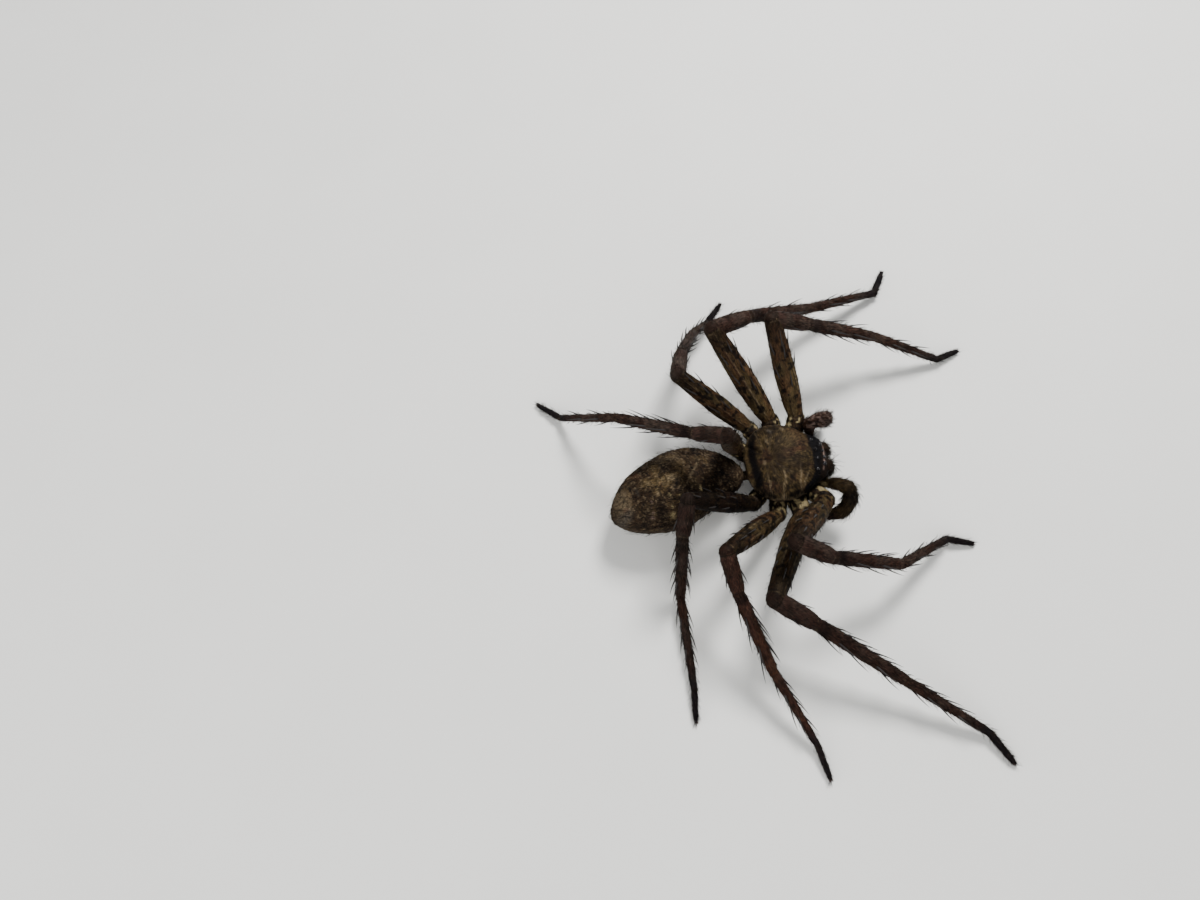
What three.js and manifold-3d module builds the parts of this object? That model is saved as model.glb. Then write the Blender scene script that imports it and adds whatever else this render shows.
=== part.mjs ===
// A female huntsman spider, life size, standing still on a flat floor.
// Millimetres, +Z up. The head points to -Y and the spider's left side is +X.
// Limb directions are two angles: the heading, in degrees from straight ahead
// towards the limb's own side, and the rise above level.

import * as THREE from 'three';
import { mergeVertices } from 'three/addons/utils/BufferGeometryUtils.js';
import Module from 'manifold-3d';

const wasm = await Module();
wasm.setup();

// Gap that neighbouring pieces keep, face to face
const GAP = 0.3;

// Carapace: distance ahead of its middle, half width and height of its top
const CARAPACE = [
  [4.45, 1.35, 4.85],
  [4.3, 1.75, 5.1],
  [4.0, 2.2, 5.4],
  [3.4, 2.6, 5.75],
  [2.6, 3.0, 6.05],
  [1.4, 3.8, 6.4],
  [0.0, 4.3, 6.55],
  [-1.4, 4.35, 6.45],
  [-2.6, 3.9, 6.0],
  [-3.4, 3.1, 5.4],
  [-3.9, 2.2, 4.95],
  [-4.2, 1.2, 4.65],
];
const CARAPACE_UNDERSIDE = 4.08;
const CARAPACE_RIM = 0.3;
const CARAPACE_FULLNESS = 2.2; // exponent of its arched cross-section
const HEAD_TURN = 6; // degrees that carapace and jaws are turned to the spider's right

// Eyes on the left half: distance ahead, distance from the midline, radius
const EYES = [
  [3.85, 0.36, 0.19],
  [3.75, 1.08, 0.26],
  [3.05, 0.52, 0.18],
  [2.85, 1.66, 0.23],
];
const EYE_SINK = 0.2; // share of its radius that an eye's middle lies below the skin

// Abdomen: distance ahead, half width, middle height, half height and distance of its middle to the left
const ABDOMEN = [
  [-4.75, 0.7, 4.2, 0.7, 0],
  [-5.3, 1.45, 4.1, 1.5, 0.05],
  [-6.4, 2.3, 4.0, 2.0, 0.28],
  [-7.8, 3.15, 3.85, 2.15, 0.42],
  [-9.8, 3.85, 4.1, 2.7, 0.27],
  [-12.0, 4.15, 4.25, 3.5, -0.15],
  [-14.0, 3.95, 4.2, 3.5, -0.4],
  [-16.0, 3.35, 4.0, 3.15, -0.55],
  [-17.5, 2.5, 3.85, 2.6, -0.77],
  [-18.7, 1.4, 3.6, 1.5, -1.0],
  [-19.2, 0.5, 3.55, 0.6, -1.1],
];
const PEDICEL = { radius: 0.5, from: -3.6, to: -6.2, height: 3.05 };

// Spinnerets: where they leave the underside of the abdomen's tip
const SPINNERET_ROOT = { ahead: -17.7, aside: -0.9, height: 2.05, back: 0.6, down: 0.8 };
const SPINNERET = { length: 1.0, radius: 0.32, taper: 0.45, spread: 0.36, splay: 0.15, rearShare: 0.85 };
const SPINNERET_MOUND = { radius: 0.75, top: 0.6, height: 0.5, buried: 0.2 };

// Sternum plate between the hips, with the lip and the two mouth lobes ahead of it
const STERNUM = { ahead: -0.4, halfLength: 2.4, halfWidth: 1.85, bottom: 1.6, top: 3.5, crown: 0.92 };
const MOUTH_LOBE = { from: 1.6, to: 3.0, aside: 0.95, radius: 0.55, height: 2.2 };
const LIP = { ahead: 2.0, aside: 0, radius: 0.55, height: 2.15 };

// Chelicerae: left one, from its top to its lower end, and the folded fang
const CHELICERA = { top: [0.95, -4.5, 4.3], bottom: [0.88, -4.85, 1.1], trim: 3.6 };
const CHELICERA_PROFILE = [[0, 0.7], [0.3, 0.77], [0.55, 0.75], [0.85, 0.56], [1, 0.36]];
const CHELICERA_DEPTH = 1.15;
const FANG = { root: [1.0, -4.95, 1.0], tip: [0.35, -4.15, 0.75], radius: 0.26 };

// Feeler paths, in part coordinates, from the mouth lobe to the tip
const PALP_THICKNESS = [0.42, 0.58, 0.76, 0.86, 0.86, 0.78, 0.5];
const PALP_LEFT = [
  [2.3, -3.4, 2.6],
  [2.8, -3.95, 3.4],
  [3.4, -3.8, 4.5],
  [3.35, -3.8, 5.3],
  [3.3, -4.5, 5.6],
  [3.45, -5.3, 5.35],
  [3.7, -5.8, 4.4],
  [4.2, -6.3, 3.0],
  [4.7, -6.7, 1.6],
];
const PALP_RIGHT = [
  [-2.45, -3.35, 2.6],
  [-3.1, -4.2, 3.3],
  [-3.8, -4.75, 4.5],
  [-4.6, -5.4, 4.75],
  [-5.6, -5.3, 4.1],
  [-6.35, -4.4, 3.2],
  [-6.2, -3.1, 2.4],
];

// Legs, pair by pair: hip ends on the left side, as distance ahead, aside and height
const HIP_INNER = [[1.6, 2.0, 2.3], [0.3, 2.2, 2.3], [-1.1, 2.15, 2.3], [-2.35, 1.65, 2.35]];
const HIP_OUTER = [[3.1, 4.9, 3.6], [0.4, 5.4, 3.1], [-2.2, 5.1, 3.2], [-4.45, 3.3, 3.3]];
const LENGTHS = [
  [11.2, 4.4, 9.2, 9.2, 3.0],
  [12.4, 4.9, 10.6, 10.1, 3.4],
  [10.4, 4.1, 8.6, 8.5, 3.2],
  [10.7, 4.0, 8.8, 9.8, 3.2],
];
const GIRTH = [1.0, 1.04, 0.92, 0.92];
const ANKLE_HEIGHT = 0.78;
const TIP_HEIGHT = 0.33;

// Pose: [heading, rise] of femur, patella and tibia, then the headings of metatarsus and tarsus
const POSE = {
  left: [
    [[96.1, 35], [-12, -18.8], [-9.5, -24.8], -19, 12.2],
    [[119.4, 36], [14.5, -15], [13.8, -30], 10.5, 51.5],
    [[141, 31], [65, -21.5], [54.7, -38.8], 40, 44],
    [[-141, 70], [144, -35], [143, -22], 139, 131],
  ],
  right: [
    [[142.5, 41], [30, -22.5], [11, -27.6], -16.4, 21],
    [[128, 24], [39, -23], [43, -16], 43, 67],
    [[153, 34.4], [86.3, -24.4], [76.8, -25.8], 71, 85],
    [[178.4, 43], [112.5, -34.5], [100.3, -59.6], 97.2, 102.7],
  ],
};
const GROWTH = { left: [1, 1, 1, 1], right: [0.97, 1, 1, 0.95] };
const REGROWN = { side: 'left', pair: 2, shares: [1, 0.9, 0.78, 0.47, 1] }; // a leg that was lost once

// Thickness of each leg piece: place along it and radius, before the pair's girth
const SEGMENTS = ['coxa', 'femur', 'patella', 'tibia', 'metatarsus', 'tarsus'];
const PROFILES = {
  coxa: [[0, 0.52], [0.3, 0.67], [0.6, 0.84], [0.74, 0.76], [0.88, 0.86], [1, 0.84]],
  femur: [[0, 0.82], [0.15, 1.08], [0.4, 1.25], [0.7, 1.13], [0.9, 0.98], [1, 0.94]],
  patella: [[0, 0.92], [0.3, 0.98], [0.75, 0.92], [1, 0.8]],
  tibia: [[0, 0.7], [0.15, 0.77], [0.5, 0.73], [0.85, 0.66], [1, 0.63]],
  metatarsus: [[0, 0.56], [0.15, 0.58], [0.6, 0.5], [0.92, 0.47], [1, 0.45]],
  tarsus: [[0, 0.42], [0.3, 0.4], [0.8, 0.35], [1, 0.29]],
};
const CAP = { shoulder: 0.7, shoulderHeight: 0.6, height: 0.9 }; // domed end of a bar, in its radii

// Sides of the rounded shapes, and steps along the smooth ones
const LIMB_SIDES = 10;
const PALP_SIDES = 8;
const ROUND_SIDES = 12;
const ABDOMEN_SIDES = 18;
const ARC_STEPS = 14;
const BODY_STEPS = 14;
const BALL_SIDES = [8, 6];
const CAP_STEPS = 4;
const FANG_SIDES = 7;
const SPINE_SIDES = 4;

// Spines: length, then rows of [angle round the limb from its upper side, positive towards the head,
// and places along the piece]. Each leans towards the foot, and flatter where a neighbour is close.
const SPINES = {
  femur: { length: 1.8, rows: [[0, [0.35, 0.6, 0.82]], [58, [0.45, 0.74]], [-58, [0.45, 0.74]]] },
  patella: { length: 1.3, rows: [[82, [0.5]], [-82, [0.5]]] },
  tibia: {
    length: 2.4,
    rows: [[118, [0.14, 0.42, 0.7]], [-118, [0.14, 0.42, 0.7]], [66, [0.28, 0.62]], [-66, [0.28, 0.62]]],
  },
  metatarsus: {
    length: 2.1,
    rows: [[112, [0.1, 0.4]], [-112, [0.1, 0.4]], [60, [0.26, 0.58]], [-60, [0.26, 0.58]]],
  },
};
const SPINE_BASE = 0.25;
const SPINE_SINK = 0.26;
const SPINE_LEANS = [15, 12]; // degrees off the limb, the first one that stays clear
const SPINE_SPREAD = 0.12; // share by which lengths and places vary
const SEED = 7;

const DEG = Math.PI / 180;

// Colours of the dry, hairy skin, from body to feet
const COLOURS = {
  carapace: 0x5d5138,
  sternum: 0x5a4a36,
  abdomen: 0x6b5740,
  spinnerets: 0x4a3c2c,
  chelicera: 0x2a1f1a,
  palp: 0x54453a,
  coxa: 0x7a6a48,
  femur: 0x5c4b33,
  patella: 0x55443a,
  tibia: 0x523f38,
  metatarsus: 0x4c3b36,
  tarsus: 0x3b3230,
};

function skin(kind) {
  return new THREE.MeshStandardMaterial({
    name: kind,
    color: COLOURS[kind],
    roughness: 0.8,
    metalness: 0,
  });
}

// A point given as distance ahead, distance to the left and height
function bodyPoint(ahead, aside, height) {
  return new THREE.Vector3(aside, -ahead, height);
}

function direction(heading, rise, side) {
  const level = Math.cos(rise * DEG);
  return new THREE.Vector3(
    side * Math.sin(heading * DEG) * level,
    -Math.cos(heading * DEG) * level,
    Math.sin(rise * DEG),
  );
}

// Closed solids, and the meshes made of them

function solidOf(geometry) {
  const bare = geometry.clone();
  bare.deleteAttribute('normal');
  bare.deleteAttribute('uv');
  const merged = mergeVertices(bare, 1e-4);
  return new wasm.Manifold(new wasm.Mesh({
    numProp: 3,
    vertProperties: new Float32Array(merged.attributes.position.array),
    triVerts: new Uint32Array(merged.index.array),
  }));
}

function largestPiece(solid) {
  const pieces = solid.decompose();
  pieces.sort((a, b) => b.volume() - a.volume());
  return pieces[0];
}

function meshOf(name, kind, solid, anchor) {
  const surface = largestPiece(solid).getMesh();
  const geometry = new THREE.BufferGeometry();
  geometry.setAttribute('position', new THREE.BufferAttribute(surface.vertProperties, 3));
  geometry.setIndex(new THREE.BufferAttribute(surface.triVerts, 1));
  geometry.translate(-anchor.x, -anchor.y, -anchor.z);
  geometry.computeVertexNormals();
  const mesh = new THREE.Mesh(geometry, skin(kind));
  mesh.name = name;
  mesh.position.copy(anchor);
  return mesh;
}

// Skin over a row of rings with equal numbers of points, closed at both ends
function loft(rings) {
  const count = rings[0].length;
  const points = rings.flat();
  const faces = [];
  for (let r = 0; r + 1 < rings.length; r += 1) {
    for (let i = 0; i < count; i += 1) {
      const a = r * count + i;
      const b = r * count + (i + 1) % count;
      faces.push(a, b, b + count, a, b + count, a + count);
    }
  }
  const last = (rings.length - 1) * count;
  for (const [start, flip] of [[0, true], [last, false]]) {
    const middle = new THREE.Vector3();
    for (let i = 0; i < count; i += 1) middle.addScaledVector(points[start + i], 1 / count);
    points.push(middle);
    for (let i = 0; i < count; i += 1) {
      const a = start + i;
      const b = start + (i + 1) % count;
      faces.push(...(flip ? [b, a, points.length - 1] : [a, b, points.length - 1]));
    }
  }
  const geometry = new THREE.BufferGeometry().setFromPoints(points);
  geometry.setIndex(faces);
  return geometry;
}

// Even samples of a smooth curve through rows of numbers
function smoothRows(rows, samples) {
  const curve = new THREE.CatmullRomCurve3(
    rows.map((row) => new THREE.Vector3(row[0], row[1], row[2])), false, 'centripetal',
  );
  const extra = new THREE.CatmullRomCurve3(
    rows.map((row) => new THREE.Vector3(row[0], row[3] ?? 0, row[4] ?? 0)), false, 'centripetal',
  );
  return Array.from({ length: samples + 1 }, (_, i) => {
    const [front, back] = [curve.getPoint(i / samples), extra.getPoint(i / samples)];
    return [...front.toArray(), back.y, back.z];
  });
}

// Body

function carapaceHeight(half, top, aside) {
  const rim = CARAPACE_UNDERSIDE + CARAPACE_RIM;
  const share = Math.min(Math.abs(aside) / half, 1);
  return rim + (top - rim) * Math.sqrt(1 - share ** CARAPACE_FULLNESS);
}

function carapaceSurface(ahead, aside) {
  const rows = CARAPACE;
  const next = Math.max(1, rows.findIndex((row) => row[0] <= ahead));
  const [a, b] = [rows[next - 1], rows[next]];
  const share = (a[0] - ahead) / (a[0] - b[0]);
  return carapaceHeight(a[1] + (b[1] - a[1]) * share, a[2] + (b[2] - a[2]) * share, aside);
}

function carapace() {
  const rings = smoothRows(CARAPACE, BODY_STEPS).map(([ahead, half, top]) => {
    const ring = [bodyPoint(ahead, half, CARAPACE_UNDERSIDE)];
    for (let i = 0; i <= ARC_STEPS; i += 1) {
      const aside = half * Math.cos(Math.PI * i / ARC_STEPS);
      ring.push(bodyPoint(ahead, aside, carapaceHeight(half, top, aside)));
    }
    ring.push(bodyPoint(ahead, -half, CARAPACE_UNDERSIDE));
    return ring;
  });
  let shell = solidOf(loft(rings.reverse()));
  for (const [ahead, aside, radius] of EYES) {
    for (const side of [1, -1]) {
      const eye = new THREE.SphereGeometry(radius, ...BALL_SIDES);
      eye.translate(side * aside, -ahead, carapaceSurface(ahead, aside) - EYE_SINK * radius);
      shell = shell.add(solidOf(eye));
    }
  }
  return shell.rotate([0, 0, -HEAD_TURN]);
}

function abdomen() {
  const rings = smoothRows(ABDOMEN, BODY_STEPS).map(([ahead, half, middle, high, aside]) => (
    Array.from({ length: ABDOMEN_SIDES }, (_, i) => {
      const angle = 2 * Math.PI * i / ABDOMEN_SIDES;
      return bodyPoint(ahead, aside + half * Math.cos(angle), middle + high * Math.sin(angle));
    })
  ));
  const { radius, from, to, height } = PEDICEL;
  const stalk = new THREE.CylinderGeometry(radius, radius, from - to, LIMB_SIDES);
  stalk.translate(0, -(from + to) / 2, height);
  const root = SPINNERET_ROOT;
  const cut = bodyPoint(root.ahead, root.aside, root.height);
  const keep = new THREE.Vector3(0, -root.back, root.down);
  return solidOf(loft(rings.reverse()))
    .add(solidOf(stalk))
    .trimByPlane(keep.toArray(), keep.dot(cut));
}

function spinnerets() {
  const root = SPINNERET_ROOT;
  const axis = new THREE.Vector3(0, root.back, -root.down);
  const start = bodyPoint(root.ahead, root.aside, root.height).addScaledVector(axis, GAP);
  const { length, radius, taper, spread, splay, rearShare } = SPINNERET;
  const mound = SPINNERET_MOUND;
  const disc = new THREE.CylinderGeometry(mound.top, mound.radius, mound.height, ROUND_SIDES);
  let cluster = solidOf(along(disc.translate(0, mound.height / 2, 0), start, axis));
  for (const aside of [1, -1]) {
    for (const back of [1, -1]) {
      const size = back > 0 ? length : length * rearShare;
      const foot = start.clone().add(new THREE.Vector3(
        aside * spread, back * spread * root.down, back * spread * root.back,
      ));
      const lean = axis.clone().add(new THREE.Vector3(aside * splay, back * splay, 0)).normalize();
      const cone = new THREE.CylinderGeometry(radius * taper, radius, size, PALP_SIDES);
      cone.translate(0, size / 2 + mound.buried, 0);
      cluster = cluster.add(solidOf(along(cone, foot, lean)));
    }
  }
  return cluster;
}

// Turns a shape that stands on the origin along +Y so that it starts at a point and runs along an axis
function along(geometry, start, axis) {
  const turn = new THREE.Quaternion().setFromUnitVectors(new THREE.Vector3(0, 1, 0), axis);
  return geometry.applyQuaternion(turn).translate(start.x, start.y, start.z);
}

function sternum() {
  const { ahead, halfLength, halfWidth, bottom, top, crown } = STERNUM;
  const plate = new THREE.CylinderGeometry(crown, 1, top - bottom, ABDOMEN_SIDES);
  plate.rotateX(-Math.PI / 2).scale(halfWidth, halfLength, 1);
  plate.translate(0, -ahead, (top + bottom) / 2);
  let solid = solidOf(plate);
  const lobe = MOUTH_LOBE;
  for (const side of [1, -1]) {
    const shape = new THREE.CapsuleGeometry(lobe.radius, lobe.to - lobe.from, CAP_STEPS, PALP_SIDES);
    shape.translate(side * lobe.aside, -(lobe.from + lobe.to) / 2, lobe.height);
    solid = solid.add(solidOf(shape));
  }
  const lip = new THREE.SphereGeometry(LIP.radius, ...BALL_SIDES);
  lip.translate(LIP.aside, -LIP.ahead, LIP.height);
  return solid.add(solidOf(lip));
}

function chelicera(side) {
  const top = new THREE.Vector3(...CHELICERA.top);
  const bottom = new THREE.Vector3(...CHELICERA.bottom);
  const shape = lathe(CHELICERA_PROFILE, top.distanceTo(bottom), 1).scale(1, 1, CHELICERA_DEPTH);
  const axis = bottom.clone().sub(top).normalize();
  const fangRoot = new THREE.Vector3(...FANG.root);
  const fangTip = new THREE.Vector3(...FANG.tip);
  const fang = new THREE.ConeGeometry(FANG.radius, fangRoot.distanceTo(fangTip), FANG_SIDES);
  fang.translate(0, fangRoot.distanceTo(fangTip) / 2, 0);
  const solid = solidOf(along(shape, top, axis))
    .add(solidOf(along(fang, fangRoot, fangTip.clone().sub(fangRoot).normalize())))
    .trimByPlane([0, 0, -1], -CHELICERA.trim);
  return (side > 0 ? solid : solid.mirror([1, 0, 0])).rotate([0, 0, -HEAD_TURN]);
}

function palp(path) {
  const points = path.map((p) => new THREE.Vector3(...p));
  const curve = new THREE.CatmullRomCurve3(points, false, 'centripetal');
  const frames = curve.computeFrenetFrames(BODY_STEPS, false);
  const rings = [];
  for (let i = 0; i <= BODY_STEPS; i += 1) {
    const share = i / BODY_STEPS;
    const place = share * (PALP_THICKNESS.length - 1);
    const low = Math.min(Math.floor(place), PALP_THICKNESS.length - 2);
    const radius = THREE.MathUtils.lerp(PALP_THICKNESS[low], PALP_THICKNESS[low + 1], place - low);
    const middle = curve.getPointAt(share);
    rings.push(Array.from({ length: PALP_SIDES }, (_, k) => {
      const angle = 2 * Math.PI * k / PALP_SIDES;
      return middle.clone()
        .addScaledVector(frames.normals[i], radius * Math.cos(angle))
        .addScaledVector(frames.binormals[i], radius * Math.sin(angle));
    }));
  }
  return solidOf(loft(rings));
}

// Legs

// A round bar along +Y with a domed cap beyond each end
function lathe(profile, length, girth) {
  const [first, last] = [profile[0][1] * girth, profile[profile.length - 1][1] * girth];
  const points = [
    new THREE.Vector2(0, -CAP.height * first),
    new THREE.Vector2(CAP.shoulder * first, -CAP.shoulderHeight * first),
    ...profile.map(([place, radius]) => new THREE.Vector2(radius * girth, place * length)),
    new THREE.Vector2(CAP.shoulder * last, length + CAP.shoulderHeight * last),
    new THREE.Vector2(0, length + CAP.height * last),
  ];
  return new THREE.LatheGeometry(points, LIMB_SIDES);
}

// Joint positions from the inner end of the hip to the tip of the foot
function legJoints(side, pair) {
  const sign = side === 'left' ? 1 : -1;
  const [femur, patella, tibia, footHeading, tipHeading] = POSE[side][pair];
  const regrown = side === REGROWN.side && pair === REGROWN.pair;
  const lengths = LENGTHS[pair].map((length, i) => {
    if (regrown) return length * REGROWN.shares[i];
    return i === 0 ? length : length * GROWTH[side][pair];
  });
  const [inner, outer] = [HIP_INNER[pair], HIP_OUTER[pair]];
  const joints = [
    bodyPoint(inner[0], sign * inner[1], inner[2]),
    bodyPoint(outer[0], sign * outer[1], outer[2]),
  ];
  const step = (heading, rise, length) => {
    const last = joints[joints.length - 1];
    joints.push(last.clone().addScaledVector(direction(heading, rise, sign), length));
  };
  const stepTo = (heading, height, length) => {
    const drop = height - joints[joints.length - 1].z;
    step(heading, Math.asin(drop / length) / DEG, length);
  };
  step(...femur, lengths[0]);
  step(...patella, lengths[1]);
  step(...tibia, lengths[2]);
  stepTo(footHeading, ANKLE_HEIGHT, lengths[3]);
  stepTo(tipHeading, TIP_HEIGHT, lengths[4]);
  return joints;
}

function leg(side, pair) {
  const joints = legJoints(side, pair);
  const axes = joints.slice(1).map((end, i) => end.clone().sub(joints[i]).normalize());
  return SEGMENTS.map((kind, i) => {
    const length = joints[i + 1].distanceTo(joints[i]);
    let solid = solidOf(along(lathe(PROFILES[kind], length, GIRTH[pair]), joints[i], axes[i]));
    const start = i === 0 ? axes[0] : axes[i - 1].clone().add(axes[i]).normalize();
    solid = solid.trimByPlane(start.toArray(), start.dot(joints[i]) + (i === 0 ? 0 : GAP / 2));
    if (i + 1 < SEGMENTS.length) {
      const end = axes[i].clone().add(axes[i + 1]).normalize();
      solid = solid.trimByPlane(end.clone().negate().toArray(), GAP / 2 - end.dot(joints[i + 1]));
    } else {
      solid = solid.trimByPlane([0, 0, 1], 0);
    }
    const name = `leg_${side}_${pair + 1}_${kind}`;
    return { name, kind, solid, anchor: joints[i], axis: axes[i], length, side, pair };
  });
}

// Radius of a leg piece at a place along it
function radiusAt(kind, pair, place) {
  const rows = PROFILES[kind];
  const next = Math.max(1, rows.findIndex((row) => row[0] >= place));
  const [a, b] = [rows[next - 1], rows[next]];
  return GIRTH[pair] * THREE.MathUtils.lerp(a[1], b[1], (place - a[0]) / (b[0] - a[0]));
}

function reaches(solid, other) {
  const [a, b] = [solid.boundingBox(), other.boundingBox()];
  return [0, 1, 2].every((k) => a.min[k] - GAP < b.max[k] && b.min[k] - GAP < a.max[k]);
}

function isClear(spine, piece, pieces) {
  if (spine.boundingBox().min[2] < GAP) return false;
  return pieces.every((other) => other === piece || !reaches(spine, other.solid)
    || spine.minGap(other.solid, GAP) >= GAP * 0.999);
}

// Grows the spines of one leg piece, each fused with its root sunk in
function growSpines(piece, pieces, random) {
  const { kind, pair, side, anchor, axis, length } = piece;
  const vary = () => 1 + SPINE_SPREAD * (2 * random() - 1);
  const up = new THREE.Vector3(0, 0, 1).addScaledVector(axis, -axis.z).normalize();
  const headwards = new THREE.Vector3().crossVectors(up, axis).multiplyScalar(side === 'left' ? 1 : -1);
  for (const [angle, places] of SPINES[kind].rows) {
    const out = up.clone().multiplyScalar(Math.cos(angle * DEG))
      .addScaledVector(headwards, Math.sin(angle * DEG));
    for (const place of places) {
      const where = place * vary();
      const size = SPINES[kind].length * vary();
      const root = anchor.clone().addScaledVector(axis, where * length)
        .addScaledVector(out, radiusAt(kind, pair, where) - SPINE_SINK);
      for (const lean of SPINE_LEANS) {
        const aim = axis.clone().multiplyScalar(Math.cos(lean * DEG))
          .addScaledVector(out, Math.sin(lean * DEG));
        const whole = size + SPINE_SINK / Math.sin(lean * DEG);
        const cone = new THREE.ConeGeometry(SPINE_BASE, whole, SPINE_SIDES).translate(0, whole / 2, 0);
        const spine = solidOf(along(cone, root, aim));
        if (isClear(spine, piece, pieces)) {
          piece.solid = piece.solid.add(spine);
          break;
        }
      }
    }
  }
}

// Small seeded generator of even random numbers
function seededRandom(seed) {
  let state = seed;
  return () => {
    state = (state * 1664525 + 1013904223) % 4294967296;
    return state / 4294967296;
  };
}

// The whole spider, set so that the middle of its box is on the Z axis and its feet at Z = 0

const trunk = [
  { name: 'carapace', kind: 'carapace', solid: carapace() },
  { name: 'sternum', kind: 'sternum', solid: sternum() },
  { name: 'abdomen', kind: 'abdomen', solid: abdomen() },
  { name: 'spinnerets', kind: 'spinnerets', solid: spinnerets() },
  { name: 'chelicera_left', kind: 'chelicera', solid: chelicera(1) },
  { name: 'chelicera_right', kind: 'chelicera', solid: chelicera(-1) },
  { name: 'palp_left', kind: 'palp', solid: palp(PALP_LEFT) },
  { name: 'palp_right', kind: 'palp', solid: palp(PALP_RIGHT) },
];
const legs = ['left', 'right'].flatMap((side) => LENGTHS.map((_, pair) => leg(side, pair)));
const pieces = [...trunk, ...legs.flat()];
const random = seededRandom(SEED);
for (const piece of pieces) {
  if (SPINES[piece.kind]) growSpines(piece, pieces, random);
}

const spider = new THREE.Group();
for (const { name, kind, solid } of trunk) spider.add(meshOf(name, kind, solid, new THREE.Vector3()));
for (const segments of legs) {
  const group = new THREE.Group();
  for (const { name, kind, solid, anchor } of segments) group.add(meshOf(name, kind, solid, anchor));
  spider.add(group);
}

const box = new THREE.Box3().setFromObject(spider, true);
const centre = box.getCenter(new THREE.Vector3());
spider.position.set(-centre.x, -centre.y, -box.min.z);
spider.updateMatrixWorld(true);

export default spider;
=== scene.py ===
import math

import bpy
import numpy as np
from mathutils import Matrix, Vector


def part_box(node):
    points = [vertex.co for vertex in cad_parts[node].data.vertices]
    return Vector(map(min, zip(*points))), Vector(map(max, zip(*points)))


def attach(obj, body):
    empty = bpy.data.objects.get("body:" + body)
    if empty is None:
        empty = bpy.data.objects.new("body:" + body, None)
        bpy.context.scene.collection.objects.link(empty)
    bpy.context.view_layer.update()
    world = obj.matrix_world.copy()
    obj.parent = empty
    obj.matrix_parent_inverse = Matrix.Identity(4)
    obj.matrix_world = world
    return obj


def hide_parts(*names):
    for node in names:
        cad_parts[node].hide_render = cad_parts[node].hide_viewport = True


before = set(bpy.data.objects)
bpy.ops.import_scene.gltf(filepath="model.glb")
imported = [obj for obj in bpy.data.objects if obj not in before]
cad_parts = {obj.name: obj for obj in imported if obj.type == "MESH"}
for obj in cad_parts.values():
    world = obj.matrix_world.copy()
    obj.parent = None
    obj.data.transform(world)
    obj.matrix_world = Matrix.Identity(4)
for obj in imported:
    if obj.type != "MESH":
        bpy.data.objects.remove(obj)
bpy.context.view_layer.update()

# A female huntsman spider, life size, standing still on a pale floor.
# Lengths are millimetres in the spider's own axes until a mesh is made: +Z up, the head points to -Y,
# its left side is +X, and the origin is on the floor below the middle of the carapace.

MM = 0.001
SEED = 7

# Where the spider's own origin lies in the frame, found from the front of its mouth lobes
MOUTH_FRONT = 3.55
low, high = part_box("sternum")
SHIFT = np.array([(low.x + high.x) / 2, low.y + MOUTH_FRONT * MM, 0])
FLOOR_GAP = 0.01

# Camera of the photograph, in the spider's own axes
CAMERA_PLACE = (-28.0, 27.13, 90.0)
CAMERA_RIGHT = (-0.2419, -0.9703, 0.0)
CAMERA_UP = (0.8977, -0.2238, 0.3795)
CAMERA_LENS = 26.1

# Light: place, size and watts of each soft panel, all aimed at the middle of the body
LAMPS = {
    "key": {"place": (150, -100, 230), "size": 90, "watts": 1.5},
    "fill": {"place": (-190, 60, 160), "size": 220, "watts": 0.45},
    "rim": {"place": (-20, 230, 110), "size": 160, "watts": 0.35},
}
SKY = (0.9, 0.95, 1.0)
SKY_STRENGTH = 0.35
FLOOR_SIZE = 1200

# Skin: how far it lies inside the solids, how finely it is meshed, and how much it is softened
COAT_DEPTH = 0.07
VOXEL = 0.11
SOFTENING = 0.5
SOFTENING_ROUNDS = 3

# Rings and sides of the shapes that the skin is drawn over
BODY_RINGS = 60
CARAPACE_SIDES = 40
ABDOMEN_SIDES = 48
STERNUM_SIDES = 32
LIMB_RINGS = 16
LIMB_SIDES = 24
DOME_RINGS = (0.15, 0.45, 0.75)

# Carapace: distance ahead of its middle, half width and height of its top
CARAPACE = [
    (4.45, 1.35, 4.85),
    (4.3, 1.75, 5.1),
    (4.0, 2.2, 5.4),
    (3.4, 2.6, 5.75),
    (2.6, 3.0, 6.05),
    (1.4, 3.8, 6.4),
    (0.0, 4.3, 6.55),
    (-1.4, 4.35, 6.45),
    (-2.6, 3.9, 6.0),
    (-3.4, 3.1, 5.4),
    (-3.9, 2.2, 4.95),
    (-4.2, 1.2, 4.65),
]
CARAPACE_UNDERSIDE = 3.8
CARAPACE_RIM = 4.38
CARAPACE_TUCK = 0.93
CARAPACE_FULLNESS = 2.2
HEAD_TURN = 6
FOVEA = (-2.1, 0.0)

# Eyes on the left half: distance ahead, distance from the midline, radius
EYES = [(3.85, 0.36, 0.19), (3.75, 1.08, 0.26), (3.05, 0.52, 0.18), (2.85, 1.66, 0.23)]
EYE_SINK = 0.2

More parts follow.
